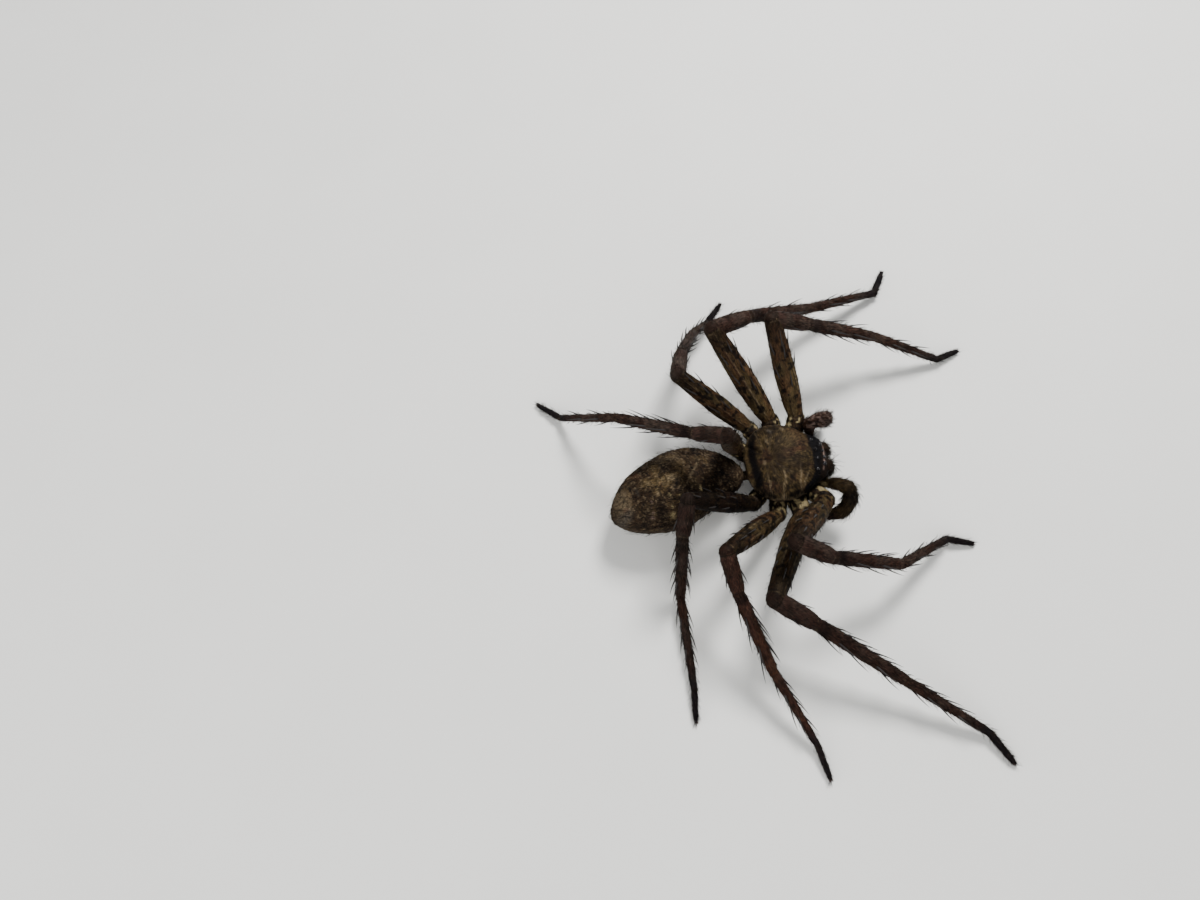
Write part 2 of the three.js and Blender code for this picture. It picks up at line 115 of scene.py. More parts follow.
# Abdomen: distance ahead, half width, middle height, half height and distance of its middle to the left
ABDOMEN = [
    (-4.75, 0.7, 4.2, 0.7, 0),
    (-5.3, 1.45, 4.1, 1.5, 0.05),
    (-6.4, 2.3, 4.0, 2.0, 0.28),
    (-7.8, 3.15, 3.85, 2.15, 0.42),
    (-9.8, 3.85, 4.1, 2.7, 0.27),
    (-12.0, 4.15, 4.25, 3.5, -0.15),
    (-14.0, 3.95, 4.2, 3.5, -0.4),
    (-16.0, 3.35, 4.0, 3.15, -0.55),
    (-17.5, 2.5, 3.85, 2.6, -0.77),
    (-18.7, 1.4, 3.6, 1.5, -1.0),
    (-19.2, 0.5, 3.55, 0.6, -1.1),
]
PEDICEL = {"radius": 0.5, "from": -3.2, "to": -6.2, "height": 3.05}
SPINNERETS = {"ahead": -17.7, "height": 2.05, "spread": 0.36, "length": 1.3, "radius": 0.3}

# Underside: breastplate, mouth lobes and lip
STERNUM = {"ahead": -0.4, "length": 2.4, "width": 1.85}
STERNUM_LEVELS = [(1.62, 0.82), (1.75, 0.93), (2.4, 1.0), (3.5, 0.95), (4.2, 0.9)]
MOUTH_LOBE = {"from": 1.6, "to": 3.0, "aside": 0.95, "radius": 0.5, "height": 2.25}
LIP = {"from": 1.7, "to": 2.1, "radius": 0.5, "height": 2.2}

CHELICERA = {"top": (0.95, -4.3, 4.5), "bottom": (0.88, -4.85, 1.1)}
CHELICERA_GIRTH = 1.05
CHELICERA_PROFILE = [(0, 0.7), (0.3, 0.77), (0.55, 0.75), (0.85, 0.56), (1, 0.36)]
FANG = {"path": [(1.0, -4.95, 1.05), (0.85, -4.85, 0.72), (0.35, -4.15, 0.75)], "radius": 0.19, "rings": 9}

# Feelers: thickness along them, and their paths from the mouth lobe to the tip
PALP_THICKNESS = [0.42, 0.58, 0.76, 0.86, 0.86, 0.78, 0.5]
PALP_JOINTS = [0.36, 0.52, 0.7]
PALP_WAIST = {"depth": 0.14, "reach": 0.03}
PALP_RINGS = 25
PALPS = {
    "left": [
        (2.3, -3.4, 2.6),
        (2.8, -3.95, 3.4),
        (3.4, -3.8, 4.5),
        (3.35, -3.8, 5.3),
        (3.3, -4.5, 5.6),
        (3.45, -5.3, 5.35),
        (3.7, -5.8, 4.4),
        (4.2, -6.3, 3.0),
        (4.7, -6.7, 1.6),
    ],
    "right": [
        (-2.45, -3.35, 2.6),
        (-3.1, -4.2, 3.3),
        (-3.8, -4.75, 4.5),
        (-4.6, -5.4, 4.75),
        (-5.6, -5.3, 4.1),
        (-6.35, -4.4, 3.2),
        (-6.2, -3.1, 2.4),
    ],
}

# Legs, pair by pair: hip ends on the left side, as distance ahead, aside and height
HIP_INNER = [(1.6, 2.0, 2.3), (0.3, 2.2, 2.3), (-1.1, 2.15, 2.3), (-2.35, 1.65, 2.35)]
HIP_OUTER = [(3.1, 4.9, 3.6), (0.4, 5.4, 3.1), (-2.2, 5.1, 3.2), (-4.45, 3.3, 3.3)]
LENGTHS = [
    (11.2, 4.4, 9.2, 9.2, 3.0),
    (12.4, 4.9, 10.6, 10.1, 3.4),
    (10.4, 4.1, 8.6, 8.5, 3.2),
    (10.7, 4.0, 8.8, 9.8, 3.2),
]
GIRTH = (1.0, 1.04, 0.92, 0.92)
ANKLE_HEIGHT = 0.78
TIP_HEIGHT = 0.33

# Pose: heading and rise of femur, patella and tibia, then the headings of metatarsus and tarsus
POSE = {
    "left": [
        ((96.1, 35), (-12, -18.8), (-9.5, -24.8), -19, 12.2),
        ((119.4, 36), (14.5, -15), (13.8, -30), 10.5, 51.5),
        ((141, 31), (65, -21.5), (54.7, -38.8), 40, 44),
        ((-141, 70), (144, -35), (143, -22), 139, 131),
    ],
    "right": [
        ((142.5, 41), (30, -22.5), (11, -27.6), -16.4, 21),
        ((128, 24), (39, -23), (43, -16), 43, 67),
        ((153, 34.4), (86.3, -24.4), (76.8, -25.8), 71, 85),
        ((178.4, 43), (112.5, -34.5), (100.3, -59.6), 97.2, 102.7),
    ],
}
# Length of each leg beyond its femur, against the lengths of its pair
GROWTH = {"left": (1, 1, 1, 1), "right": (0.97, 1, 1, 0.95)}
# Shares of the full lengths in a leg that was lost once and has grown back
REGROWN = {"side": "left", "pair": 2, "shares": (1, 0.9, 0.78, 0.47, 1)}

SEGMENTS = ["coxa", "femur", "patella", "tibia", "metatarsus", "tarsus"]
PROFILES = {
    "coxa": [(0, 0.7), (0.3, 0.95), (0.6, 1.1), (0.74, 1.02), (0.88, 1.04), (1, 0.98)],
    "femur": [(0, 0.82), (0.15, 1.08), (0.4, 1.25), (0.7, 1.13), (0.9, 0.98), (1, 0.94)],
    "patella": [(0, 0.92), (0.3, 0.98), (0.75, 0.92), (1, 0.8)],
    "tibia": [(0, 0.7), (0.15, 0.77), (0.5, 0.73), (0.85, 0.66), (1, 0.63)],
    "metatarsus": [(0, 0.56), (0.15, 0.58), (0.6, 0.5), (0.92, 0.47), (1, 0.45)],
    "tarsus": [(0, 0.42), (0.3, 0.4), (0.8, 0.35), (1, 0.29)],
}
# Waist at each joint: share of the thickness it takes away, and its length
WAIST = {"depth": 0.12, "reach": 0.22}

# Spines: length, then rows of angle round the limb from its upper side and places along the piece
SPINES = {
    "femur": (1.8, [(0, (0.35, 0.6, 0.82)), (58, (0.45, 0.74)), (-58, (0.45, 0.74))]),
    "patella": (1.6, [(80, (0.5,)), (-80, (0.5,))]),
    "tibia": (
        2.8,
        [(102, (0.14, 0.42, 0.7)), (-102, (0.14, 0.42, 0.7)), (52, (0.28, 0.62)), (-52, (0.28, 0.62))],
    ),
    "metatarsus": (
        2.3,
        [(100, (0.1, 0.4)), (-100, (0.1, 0.4)), (50, (0.26, 0.58)), (-50, (0.26, 0.58))],
    ),
}
SPINE_RADIUS = 0.08
SPINE_LEAN = 13
SPINE_SPREAD = 0.12
SPINE_CURVE = 0.28
SPINE_ROOT = 0.08
SPINE_TAPER = (1.15, 1.0, 0.88, 0.74, 0.56, 0.34, 0.08)


def unit(vector):
    vector = np.asarray(vector, float)
    return vector / np.linalg.norm(vector)


def body_point(ahead, aside, height):
    return np.array([aside, -ahead, height], float)


def head_point(ahead, aside, height):
    """A point of the carapace or the jaws, which are turned to the spider's right."""
    cos, sin = math.cos(math.radians(HEAD_TURN)), math.sin(math.radians(HEAD_TURN))
    return body_point(ahead * cos + aside * sin, aside * cos - ahead * sin, height)


def direction(heading, rise, side):
    heading, rise = math.radians(heading), math.radians(rise)
    level = math.cos(rise)
    return np.array([side * math.sin(heading) * level, -math.cos(heading) * level, math.sin(rise)])


def smooth_rows(rows, count):
    """Samples of a smooth curve through rows of numbers, more of them where the rows are close."""
    rows = np.array(rows, float)
    steps = np.linalg.norm(np.diff(rows, axis=0), axis=1) ** 0.5
    knots = np.concatenate([[0], np.cumsum(steps)])
    slopes = np.gradient(rows, knots, axis=0)
    place = np.linspace(0, knots[-1], count)
    i = np.clip(np.searchsorted(knots, place, side="right") - 1, 0, len(rows) - 2)
    span = (knots[i + 1] - knots[i])[:, None]
    u = (place - knots[i])[:, None] / span
    return (
        rows[i] * (2 * u**3 - 3 * u**2 + 1)
        + rows[i + 1] * (3 * u**2 - 2 * u**3)
        + slopes[i] * span * (u**3 - 2 * u**2 + u)
        + slopes[i + 1] * span * (u**3 - u**2)
    )


CARAPACE_ROWS = smooth_rows(CARAPACE, BODY_RINGS)[::-1]
ABDOMEN_ROWS = smooth_rows(ABDOMEN, BODY_RINGS)[::-1]


def abdomen_aside(ahead):
    return np.interp(ahead, ABDOMEN_ROWS[:, 0], ABDOMEN_ROWS[:, 4])


def carapace_half(ahead):
    return np.interp(ahead, CARAPACE_ROWS[:, 0], CARAPACE_ROWS[:, 1])


def carapace_height(ahead, aside):
    top = np.interp(ahead, CARAPACE_ROWS[:, 0], CARAPACE_ROWS[:, 2])
    share = np.clip(np.abs(aside) / carapace_half(ahead), 0, 1)
    return CARAPACE_RIM + (top - CARAPACE_RIM) * np.sqrt(1 - share**CARAPACE_FULLNESS)


class Bar:
    """A round tapered stretch of limb between two points."""

    def __init__(self, kind, start, end, profile, girth=1.0, limb=0, span=(0.0, 1.0)):
        self.kind = kind
        self.limb = limb
        self.span = span
        self.start = np.asarray(start, float)
        self.end = np.asarray(end, float)
        self.length = np.linalg.norm(self.end - self.start)
        self.axis = unit(self.end - self.start)
        aim = np.array([0.0, 0.0, 1.0]) if abs(self.axis[2]) < 0.99 else np.array([0.0, 1.0, 0.0])
        self.up = unit(aim - self.axis * self.axis.dot(aim))
        side = 1 if self.start[0] > 0 else -1
        self.headwards = np.cross(self.up, self.axis) * side
        self.places = np.array([row[0] for row in profile], float)
        self.radii = np.array([row[1] for row in profile], float) * girth - COAT_DEPTH

    def radius(self, place):
        return np.interp(place, self.places, self.radii)

    def out(self, angle):
        return np.multiply.outer(np.cos(angle), self.up) + np.multiply.outer(np.sin(angle), self.headwards)

    def rings(self, waist):
        """Rings from one domed end to the other, with a slight waist at each joint."""
        out = self.out(np.linspace(0, 2 * math.pi, LIMB_SIDES, endpoint=False))
        rings = []
        first, last = self.radii[0], self.radii[-1]
        for turn in DOME_RINGS:
            dome = turn * math.pi / 2
            middle = self.start - self.axis * first * math.cos(dome)
            rings.append(middle + out * first * math.sin(dome))
        for place in np.linspace(0, 1, LIMB_RINGS):
            radius = self.radius(place)
            if waist:
                near = min(place, 1 - place) * self.length
                radius *= 1 - WAIST["depth"] * math.exp(-((near / WAIST["reach"]) ** 2))
            rings.append(self.start + self.axis * place * self.length + out * radius)
        for turn in DOME_RINGS[::-1]:
            dome = turn * math.pi / 2
            middle = self.end + self.axis * last * math.cos(dome)
            rings.append(middle + out * last * math.sin(dome))
        return rings


class Shell:
    """Points and faces gathered from closed shapes."""

    def __init__(self):
        self.points = []
        self.faces = []
        self.count = 0

    def loft(self, rings):
        rings = np.array(rings)
        rows, sides = rings.shape[:2]
        index = self.count + np.arange(rows * sides).reshape(rows, sides)
        turned = np.roll(index, -1, axis=1)
        quads = np.stack([index[:-1], turned[:-1], turned[1:], index[1:]], axis=-1).reshape(-1, 4)
        self.points.append(rings.reshape(-1, 3))
        self.faces.extend(quads.tolist())
        self.faces.append(index[0, ::-1].tolist())
        self.faces.append(index[-1].tolist())
        self.count += rows * sides

    def mesh(self, name):
        mesh = bpy.data.meshes.new(name)
        mesh.from_pydata(np.concatenate(self.points).tolist(), [], self.faces)
        return mesh


def leg_joints(side, pair):
    sign = 1 if side == "left" else -1
    femur, patella, tibia, foot_heading, tip_heading = POSE[side][pair]
    growth = GROWTH[side][pair]
    regrown = side == REGROWN["side"] and pair == REGROWN["pair"]
    inner, outer = HIP_INNER[pair], HIP_OUTER[pair]
    joints = [body_point(ahead, sign * aside, height) for ahead, aside, height in (inner, outer)]
    turns = [femur, patella, tibia, (foot_heading, ANKLE_HEIGHT), (tip_heading, TIP_HEIGHT)]
    for i, (heading, rise) in enumerate(turns):
        length = LENGTHS[pair][i] * (REGROWN["shares"][i] if regrown else growth if i > 0 else 1)
        if i > 2:
            rise = math.degrees(math.asin((rise - joints[-1][2]) / length))
        joints.append(joints[-1] + direction(heading, rise, sign) * length)
    return joints


def leg_bars(side, pair):
    joints = leg_joints(side, pair)
    limb = pair + (4 if side == "right" else 0)
    return [
        Bar(kind, joints[i], joints[i + 1], PROFILES[kind], GIRTH[pair], limb)
        for i, kind in enumerate(SEGMENTS)
    ]


def palp_bars(side):
    path = smooth_rows(PALPS[side], PALP_RINGS)
    steps = np.linalg.norm(np.diff(path, axis=0), axis=1)
    shares = np.concatenate([[0], np.cumsum(steps)]) / steps.sum()
    knots = np.linspace(0, 1, len(PALP_THICKNESS))
    thick = np.interp(shares, knots, PALP_THICKNESS)
    for joint in PALP_JOINTS:
        thick *= 1 - PALP_WAIST["depth"] * np.exp(-(((shares - joint) / PALP_WAIST["reach"]) ** 2))
    limb = 8 if side == "left" else 9
    return [
        Bar("palp", path[i], path[i + 1], [(0, thick[i]), (1, thick[i + 1])], 1, limb, shares[i : i + 2])
        for i in range(len(path) - 1)
    ]


def chelicera_bar(side):
    top, bottom = (head_point(-y, side * x, z) for x, y, z in (CHELICERA["top"], CHELICERA["bottom"]))
    return Bar("chelicera", top, bottom, CHELICERA_PROFILE, CHELICERA_GIRTH, 10 if side > 0 else 11)


def under_bars():
    bars = []
    for kind, shape, aside, radius in (
        ("mouth", MOUTH_LOBE, MOUTH_LOBE["aside"], MOUTH_LOBE["radius"]),
        ("mouth", MOUTH_LOBE, -MOUTH_LOBE["aside"], MOUTH_LOBE["radius"]),
        ("mouth", LIP, 0, LIP["radius"]),
        ("pedicel", PEDICEL, 0, PEDICEL["radius"] + COAT_DEPTH),
    ):
        ends = [body_point(shape[end], aside, shape["height"]) for end in ("from", "to")]
        bars.append(Bar(kind, *ends, [(0, radius), (1, radius)]))
    tail = SPINNERETS
    root = body_point(tail["ahead"], abdomen_aside(tail["ahead"]), tail["height"])
    for aside in (1, -1):
        for back in (1, -1):
            start = root + np.array([aside, back * 0.8, back * 0.5]) * tail["spread"]
            end = start + unit([aside * 0.15, 0.6 + back * 0.1, -0.8]) * tail["length"]
            bars.append(Bar("spinneret", start, end, [(0, 1.2), (1, 0.6)], tail["radius"]))
    return bars


def carapace_rings():
    rings = []
    for ahead, half, top in CARAPACE_ROWS:
        half, top = half - COAT_DEPTH, top - COAT_DEPTH
        across = half * np.cos(np.linspace(0, math.pi, CARAPACE_SIDES))
        share = np.abs(across) / half
        height = CARAPACE_RIM + (top - CARAPACE_RIM) * np.sqrt(1 - share**CARAPACE_FULLNESS)
        ring = [head_point(ahead, half * CARAPACE_TUCK, CARAPACE_UNDERSIDE)]
        ring += [head_point(ahead, x, z) for x, z in zip(across, height)]
        ring.append(head_point(ahead, -half * CARAPACE_TUCK, CARAPACE_UNDERSIDE))
        rings.append(ring)
    return rings


def abdomen_rings():
    angles = np.linspace(0, 2 * math.pi, ABDOMEN_SIDES, endpoint=False)
    rings = []
    for ahead, half, middle, high, drift in ABDOMEN_ROWS:
        half, high = half - COAT_DEPTH, high - COAT_DEPTH
        edge = [(drift + half * math.cos(angle), middle + high * math.sin(angle)) for angle in angles]
        rings.append([body_point(ahead, aside, height) for aside, height in edge])
    return rings


def sternum_rings():
    angles = np.linspace(0, 2 * math.pi, STERNUM_SIDES, endpoint=False)
    rings = []
    for height, share in STERNUM_LEVELS:
        length, width = STERNUM["length"] * share, STERNUM["width"] * share
        edge = [(STERNUM["ahead"] + length * math.sin(angle), width * math.cos(angle)) for angle in angles]
        rings.append([body_point(ahead, aside, height) for ahead, aside in edge])
    return rings


LIMBS = [leg_bars(side, pair) for side in ("left", "right") for pair in range(4)]
BARS = [bar for limb in LIMBS for bar in limb]
BARS += palp_bars("left") + palp_bars("right") + [chelicera_bar(1), chelicera_bar(-1)] + under_bars()


def skin_mesh():
    """One closed skin over the whole animal."""
    shell = Shell()
    shell.loft(carapace_rings())
    shell.loft(abdomen_rings())
    shell.loft(sternum_rings())
    for bar in BARS:
        shell.loft(bar.rings(waist=bar.kind in SEGMENTS[2:]))
    draft = bpy.data.objects.new("draft", shell.mesh("draft"))
    bpy.context.scene.collection.objects.link(draft)
    remesh = draft.modifiers.new("one_skin", "REMESH")
    remesh.mode = "VOXEL"
    remesh.voxel_size = VOXEL
    smooth = draft.modifiers.new("soften", "SMOOTH")
    smooth.factor = SOFTENING
    smooth.iterations = SOFTENING_ROUNDS
    bpy.context.view_layer.update()
    evaluated = draft.evaluated_get(bpy.context.evaluated_depsgraph_get())
    mesh = bpy.data.meshes.new_from_object(evaluated)
    bpy.data.objects.remove(draft)
    return mesh


# Places on the skin

PARTS = [
    "underside", "carapace", "abdomen", "coxa", "femur", "patella", "tibia",
    "metatarsus", "tarsus", "palp", "chelicera", "mouth", "pedicel", "spinneret",
]
# How far the edges of marks wander, and the sizes of the noise that moves them
RAGGED = {"reach": 0.22, "coarse": 0.6, "fine": 0.22, "seeds": (61, 63)}
# How close the skin lies to a part that it belongs to: in general, and over the carapace and at its edge
NEAR = 0.3
NEAR_BACK = 0.45
BACK_EDGE = 0.12


class Places:
    """Where points of the skin belong: part, limb, place along and round it, and the lie of the coat."""

    def __init__(self, points):
        count = len(points)
        self.points = points
        self.ahead, self.aside, self.height = -points[:, 1], points[:, 0], points[:, 2]
        cos, sin = math.cos(math.radians(HEAD_TURN)), math.sin(math.radians(HEAD_TURN))
        self.head_ahead = self.ahead * cos - self.aside * sin
        self.head_aside = self.aside * cos + self.ahead * sin
        wander = [
            noise(points, RAGGED["coarse"], seed) + 0.5 * noise(points, RAGGED["fine"], seed + 1) - 0.75
            for seed in RAGGED["seeds"]
        ]
        level_place = np.stack([self.ahead, self.aside], axis=1)
        self.ragged = level_place + RAGGED["reach"] * np.stack(wander, axis=1)
        self.part = np.zeros(count, int)
        self.limb = np.zeros(count, int)
        self.along = np.zeros(count)
        self.length = np.ones(count)
        self.round = np.zeros(count)
        self.radius = np.ones(count)
        self.lie = np.tile([0.0, 1.0, 0.0], (count, 1))
        self.gap = np.full(count, NEAR)
        self.find_carapace()
        self.find_abdomen()
        for bar in BARS:
            self.find_bar(bar)

    def find_carapace(self):
        ahead, aside = self.head_ahead, self.head_aside
        half = carapace_half(ahead)
        top = carapace_height(ahead, aside) - COAT_DEPTH
        over = np.abs(aside) - half
        gap = np.where(self.height > CARAPACE_RIM, np.abs(self.height - top), np.abs(over))
        gap = np.minimum(gap, np.abs(over + COAT_DEPTH))
        low, high = CARAPACE[-1][0], CARAPACE[0][0]
        inside = (ahead > low - 0.15) & (ahead < high + 0.15) & (over < 0.1)
        chosen = inside & (self.height > CARAPACE_UNDERSIDE - BACK_EDGE) & (gap < NEAR_BACK)
        self.part[chosen] = PARTS.index("carapace")
        self.gap[chosen] = np.minimum(gap, BACK_EDGE)[chosen]
        self.along[chosen] = ((ahead - low) / (high - low))[chosen]
        out_ahead, out_aside = ahead - FOVEA[0], aside - FOVEA[1]
        outward = head_point(out_ahead, out_aside, 0 * ahead).T
        self.lie[chosen] = outward[chosen]

    def find_abdomen(self):
        front, tip = ABDOMEN[0][0], ABDOMEN[-1][0]
        rows = ABDOMEN_ROWS
        half, middle, high = (np.interp(self.ahead, rows[:, 0], rows[:, i]) for i in (1, 2, 3))
        half, high = half - COAT_DEPTH, high - COAT_DEPTH
        across = self.aside - abdomen_aside(self.ahead)
        share = np.hypot(across / half, (self.height - middle) / high)
        gap = np.abs(share - 1) * np.minimum(half, high)
        chosen = (self.ahead < front + NEAR) & (self.ahead > tip - NEAR) & (gap < self.gap)
        self.part[chosen] = PARTS.index("abdomen")
        self.gap[chosen] = gap[chosen]
        self.along[chosen] = ((front - self.ahead) / (front - tip))[chosen]
        self.round[chosen] = np.arctan2(across / half, (self.height - middle) / high)[chosen]

    def find_bar(self, bar):
        offset = self.points - bar.start
        place = np.clip(offset @ bar.axis / bar.length, 0, 1)
        offset = offset - np.multiply.outer(place * bar.length, bar.axis)
        radius = bar.radius(place)
        gap = np.abs(np.linalg.norm(offset, axis=1) - radius)
        chosen = gap < self.gap
        self.part[chosen] = PARTS.index(bar.kind)
        self.gap[chosen] = gap[chosen]
        self.limb[chosen] = bar.limb
        self.along[chosen] = (bar.span[0] + place * (bar.span[1] - bar.span[0]))[chosen]
        self.length[chosen] = bar.length / (bar.span[1] - bar.span[0])
        self.round[chosen] = np.arctan2(offset @ bar.headwards, offset @ bar.up)[chosen]
        self.radius[chosen] = radius[chosen]
        self.lie[chosen] = bar.axis

    def on(self, *names):
        return np.isin(self.part, [PARTS.index(name) for name in names])


def noise(points, size, seed=0):
    """Smooth noise from 0 to 1, with blobs of a given size."""
    place = np.asarray(points) / size + 31.7
    cell = np.floor(place).astype(np.int64)
    share = place - cell
    share = share * share * (3 - 2 * share)
    total = np.zeros(len(place))
    for corner in np.ndindex(2, 2, 2):
        weight = np.prod(np.where(corner, share, 1 - share), axis=1)
        a, b, c = (cell + corner).T.astype(np.uint32)
        mixed = a * np.uint32(73856093) ^ b * np.uint32(19349663) ^ c * np.uint32(83492791)
        mixed ^= np.uint32(seed * 2654435 + 97)
        mixed = (mixed ^ mixed >> np.uint32(15)) * np.uint32(2246822519)
        mixed = (mixed ^ mixed >> np.uint32(13)) * np.uint32(3266489917)
        total += weight * ((mixed ^ mixed >> np.uint32(16)) / 4294967295.0)
    return total


def ramp(value, low, high):
    """0 below low, 1 above high, and a soft step between them."""
    share = np.clip((value - low) / (high - low), 0, 1)
    return share * share * (3 - 2 * share)


def patchy(points, size, seed, low, high):
    """Patches of a given size, 1 where the noise is above high and 0 where it is below low."""
    return ramp(noise(points, size, seed), low, high)


def bump(value, middle, width):
    return np.exp(-(((value - middle) / width) ** 2))


# Relief of the skin: radial grooves and middle dent of the carapace, eye mounds and dents of the abdomen
GROOVES = {"turns": (38, 68, 98, 128), "width": 0.09, "depth": 0.11, "from": (0.5, 1.2), "to": (2.2, 3.4)}
FOVEA_DENT = {"depth": 0.22, "width": 0.14, "length": 0.6}
EYE_MOUND = {"height": 0.09, "spread": 1.5}
ABDOMEN_DENT = {"depth": 0.12, "radius": 0.22, "lowest": 5}


def shape_skin(mesh, places):
    """Grooves, pits and eye mounds pressed into the plain skin, in millimetres along its normals."""
    normals = np.zeros(len(mesh.vertices) * 3)
    mesh.vertex_normals.foreach_get("vector", normals)
    normals = normals.reshape(-1, 3)
    ahead, aside = places.head_ahead, places.head_aside
    lift = np.zeros(len(ahead))

    shield = places.on("carapace") & (normals[:, 2] > 0.1)
    distance = np.hypot(ahead - FOVEA[0], aside)
    bearing = np.arctan2(np.abs(aside), ahead - FOVEA[0])
    grooves = sum(bump(bearing, math.radians(turn), GROOVES["width"]) for turn in GROOVES["turns"])
    grooves = shield * GROOVES["depth"] * grooves * ramp(distance, *GROOVES["from"])
    lift -= grooves * ramp(-distance, -GROOVES["to"][1], -GROOVES["to"][0])
    dent = shield * FOVEA_DENT["depth"] * bump(aside, 0, FOVEA_DENT["width"])
    lift -= dent * bump(ahead, FOVEA[0], FOVEA_DENT["length"])
    lift += shield * 0.04 * (noise(places.points, 0.5) - 0.5)
    for eye_ahead, eye_aside, radius in EYES:
        near = np.hypot(ahead - eye_ahead, np.abs(aside) - eye_aside)
        lift += shield * EYE_MOUND["height"] * bump(near, 0, radius * EYE_MOUND["spread"])

    belly = places.on("abdomen")
    lift += belly * 0.10 * (noise(places.points, 1.1, 3) - 0.5)
    lift += belly * 0.05 * (noise(places.points * [1, 2.2, 1], 0.45, 4) - 0.5)
    for pit_ahead, pit_aside in ABDOMEN_PITS:
        across = places.aside - abdomen_aside(places.ahead)
        near = np.hypot(places.ahead - pit_ahead, np.abs(across) - pit_aside)
        upper = belly * (places.height > ABDOMEN_DENT["lowest"])
        lift -= upper * ABDOMEN_DENT["depth"] * bump(near, 0, ABDOMEN_DENT["radius"])

    limbs = places.on("femur", "patella", "tibia", "metatarsus")
    lift += limbs * 0.05 * (noise(places.points, 0.7, 5) - 0.5)
    return places.points + normals * lift[:, None]


# Colours

INK = (0.0022, 0.0017, 0.0020)
SLATE = (0.0045, 0.0055, 0.0080)
UMBER = (0.0085, 0.0050, 0.0032)
BROWN = (0.021, 0.0130, 0.0075)
OLIVE = (0.031, 0.0215, 0.0100)
PLUM = (0.026, 0.0155, 0.0125)
MAROON = (0.031, 0.0135, 0.0092)
RUST = (0.058, 0.0235, 0.0130)
OCHRE = (0.082, 0.0570, 0.0260)
TAN = (0.148, 0.1130, 0.0690)
CREAM = (0.34, 0.275, 0.145)
ASH = (0.072, 0.062, 0.051)
ROSE = (0.20, 0.140, 0.118)

# How light each leg is, left legs first and from front to rear, and how red its lower pieces are. The low
# value of the fourth right leg is partly painted shade, for the shade of the body over its femur.
LEG_TONES_AND_SHADE = (1.1, 1.05, 0.95, 1.0, 0.8, 0.7, 0.9, 0.65)
LEG_REDS = (0.3, 0.4, 0.0, 0.3, 0.45, 0.55, 1.0, 0.5)

# Marks on the back: colour and strength, distance ahead and to the left, half length, half width and
# the turn of the long side from straight ahead to the left
CARAPACE_MARKS = [
    (OCHRE, 0.35, 1.1, 2.0, 1.0, 0.7, 0),
    (OCHRE, 0.45, 0.6, -2.7, 0.4, 0.8, 0),
    (RUST, 0.4, 1.4, 0.5, 0.7, 0.3, 0),
    (UMBER, 0.6, -0.9, 0.3, 0.8, 1.0, 0),
    (UMBER, 0.5, 0.3, -1.2, 0.7, 0.5, 0),
    (OCHRE, 0.25, -2.3, 2.2, 0.4, 1.0, 0),
    (TAN, 0.45, -2.62, -0.05, 0.16, 0.3, 0),
    (INK, 0.85, -0.25, -2.25, 0.3, 0.36, 0),
    (INK, 0.6, -0.6, -2.75, 0.22, 0.2, 0),
    (INK, 0.6, 0.3, -3.8, 1.4, 0.35, 8),
    (TAN, 0.7, -1.55, -3.85, 0.2, 0.22, 0),
    (INK, 0.65, -0.5, 3.3, 0.7, 0.5, 0),
    (INK, 0.5, -2.6, 3.5, 0.5, 0.35, 30),
    (ASH, 0.5, -1.0, 3.3, 0.2, 0.3, 0),
    (TAN, 0.45, -1.6, 2.2, 0.14, 0.3, 0),
    (TAN, 0.6, 0.45, 3.3, 0.18, 0.28, 0),
    (TAN, 0.6, -1.04, -2.08, 0.73, 0.085, 88),
    (TAN, 0.6, -2.66, -2.3, 0.84, 0.085, 90),
    (TAN, 0.55, -1.35, -2.95, 0.6, 0.085, 80),
    (TAN, 0.6, 0.57, -2.57, 1.1, 0.085, 76),
    (TAN, 0.5, 1.07, -2.77, 1.05, 0.09, 54),
    (TAN, 0.5, -2.3, 3.5, 0.5, 0.09, 80),
]
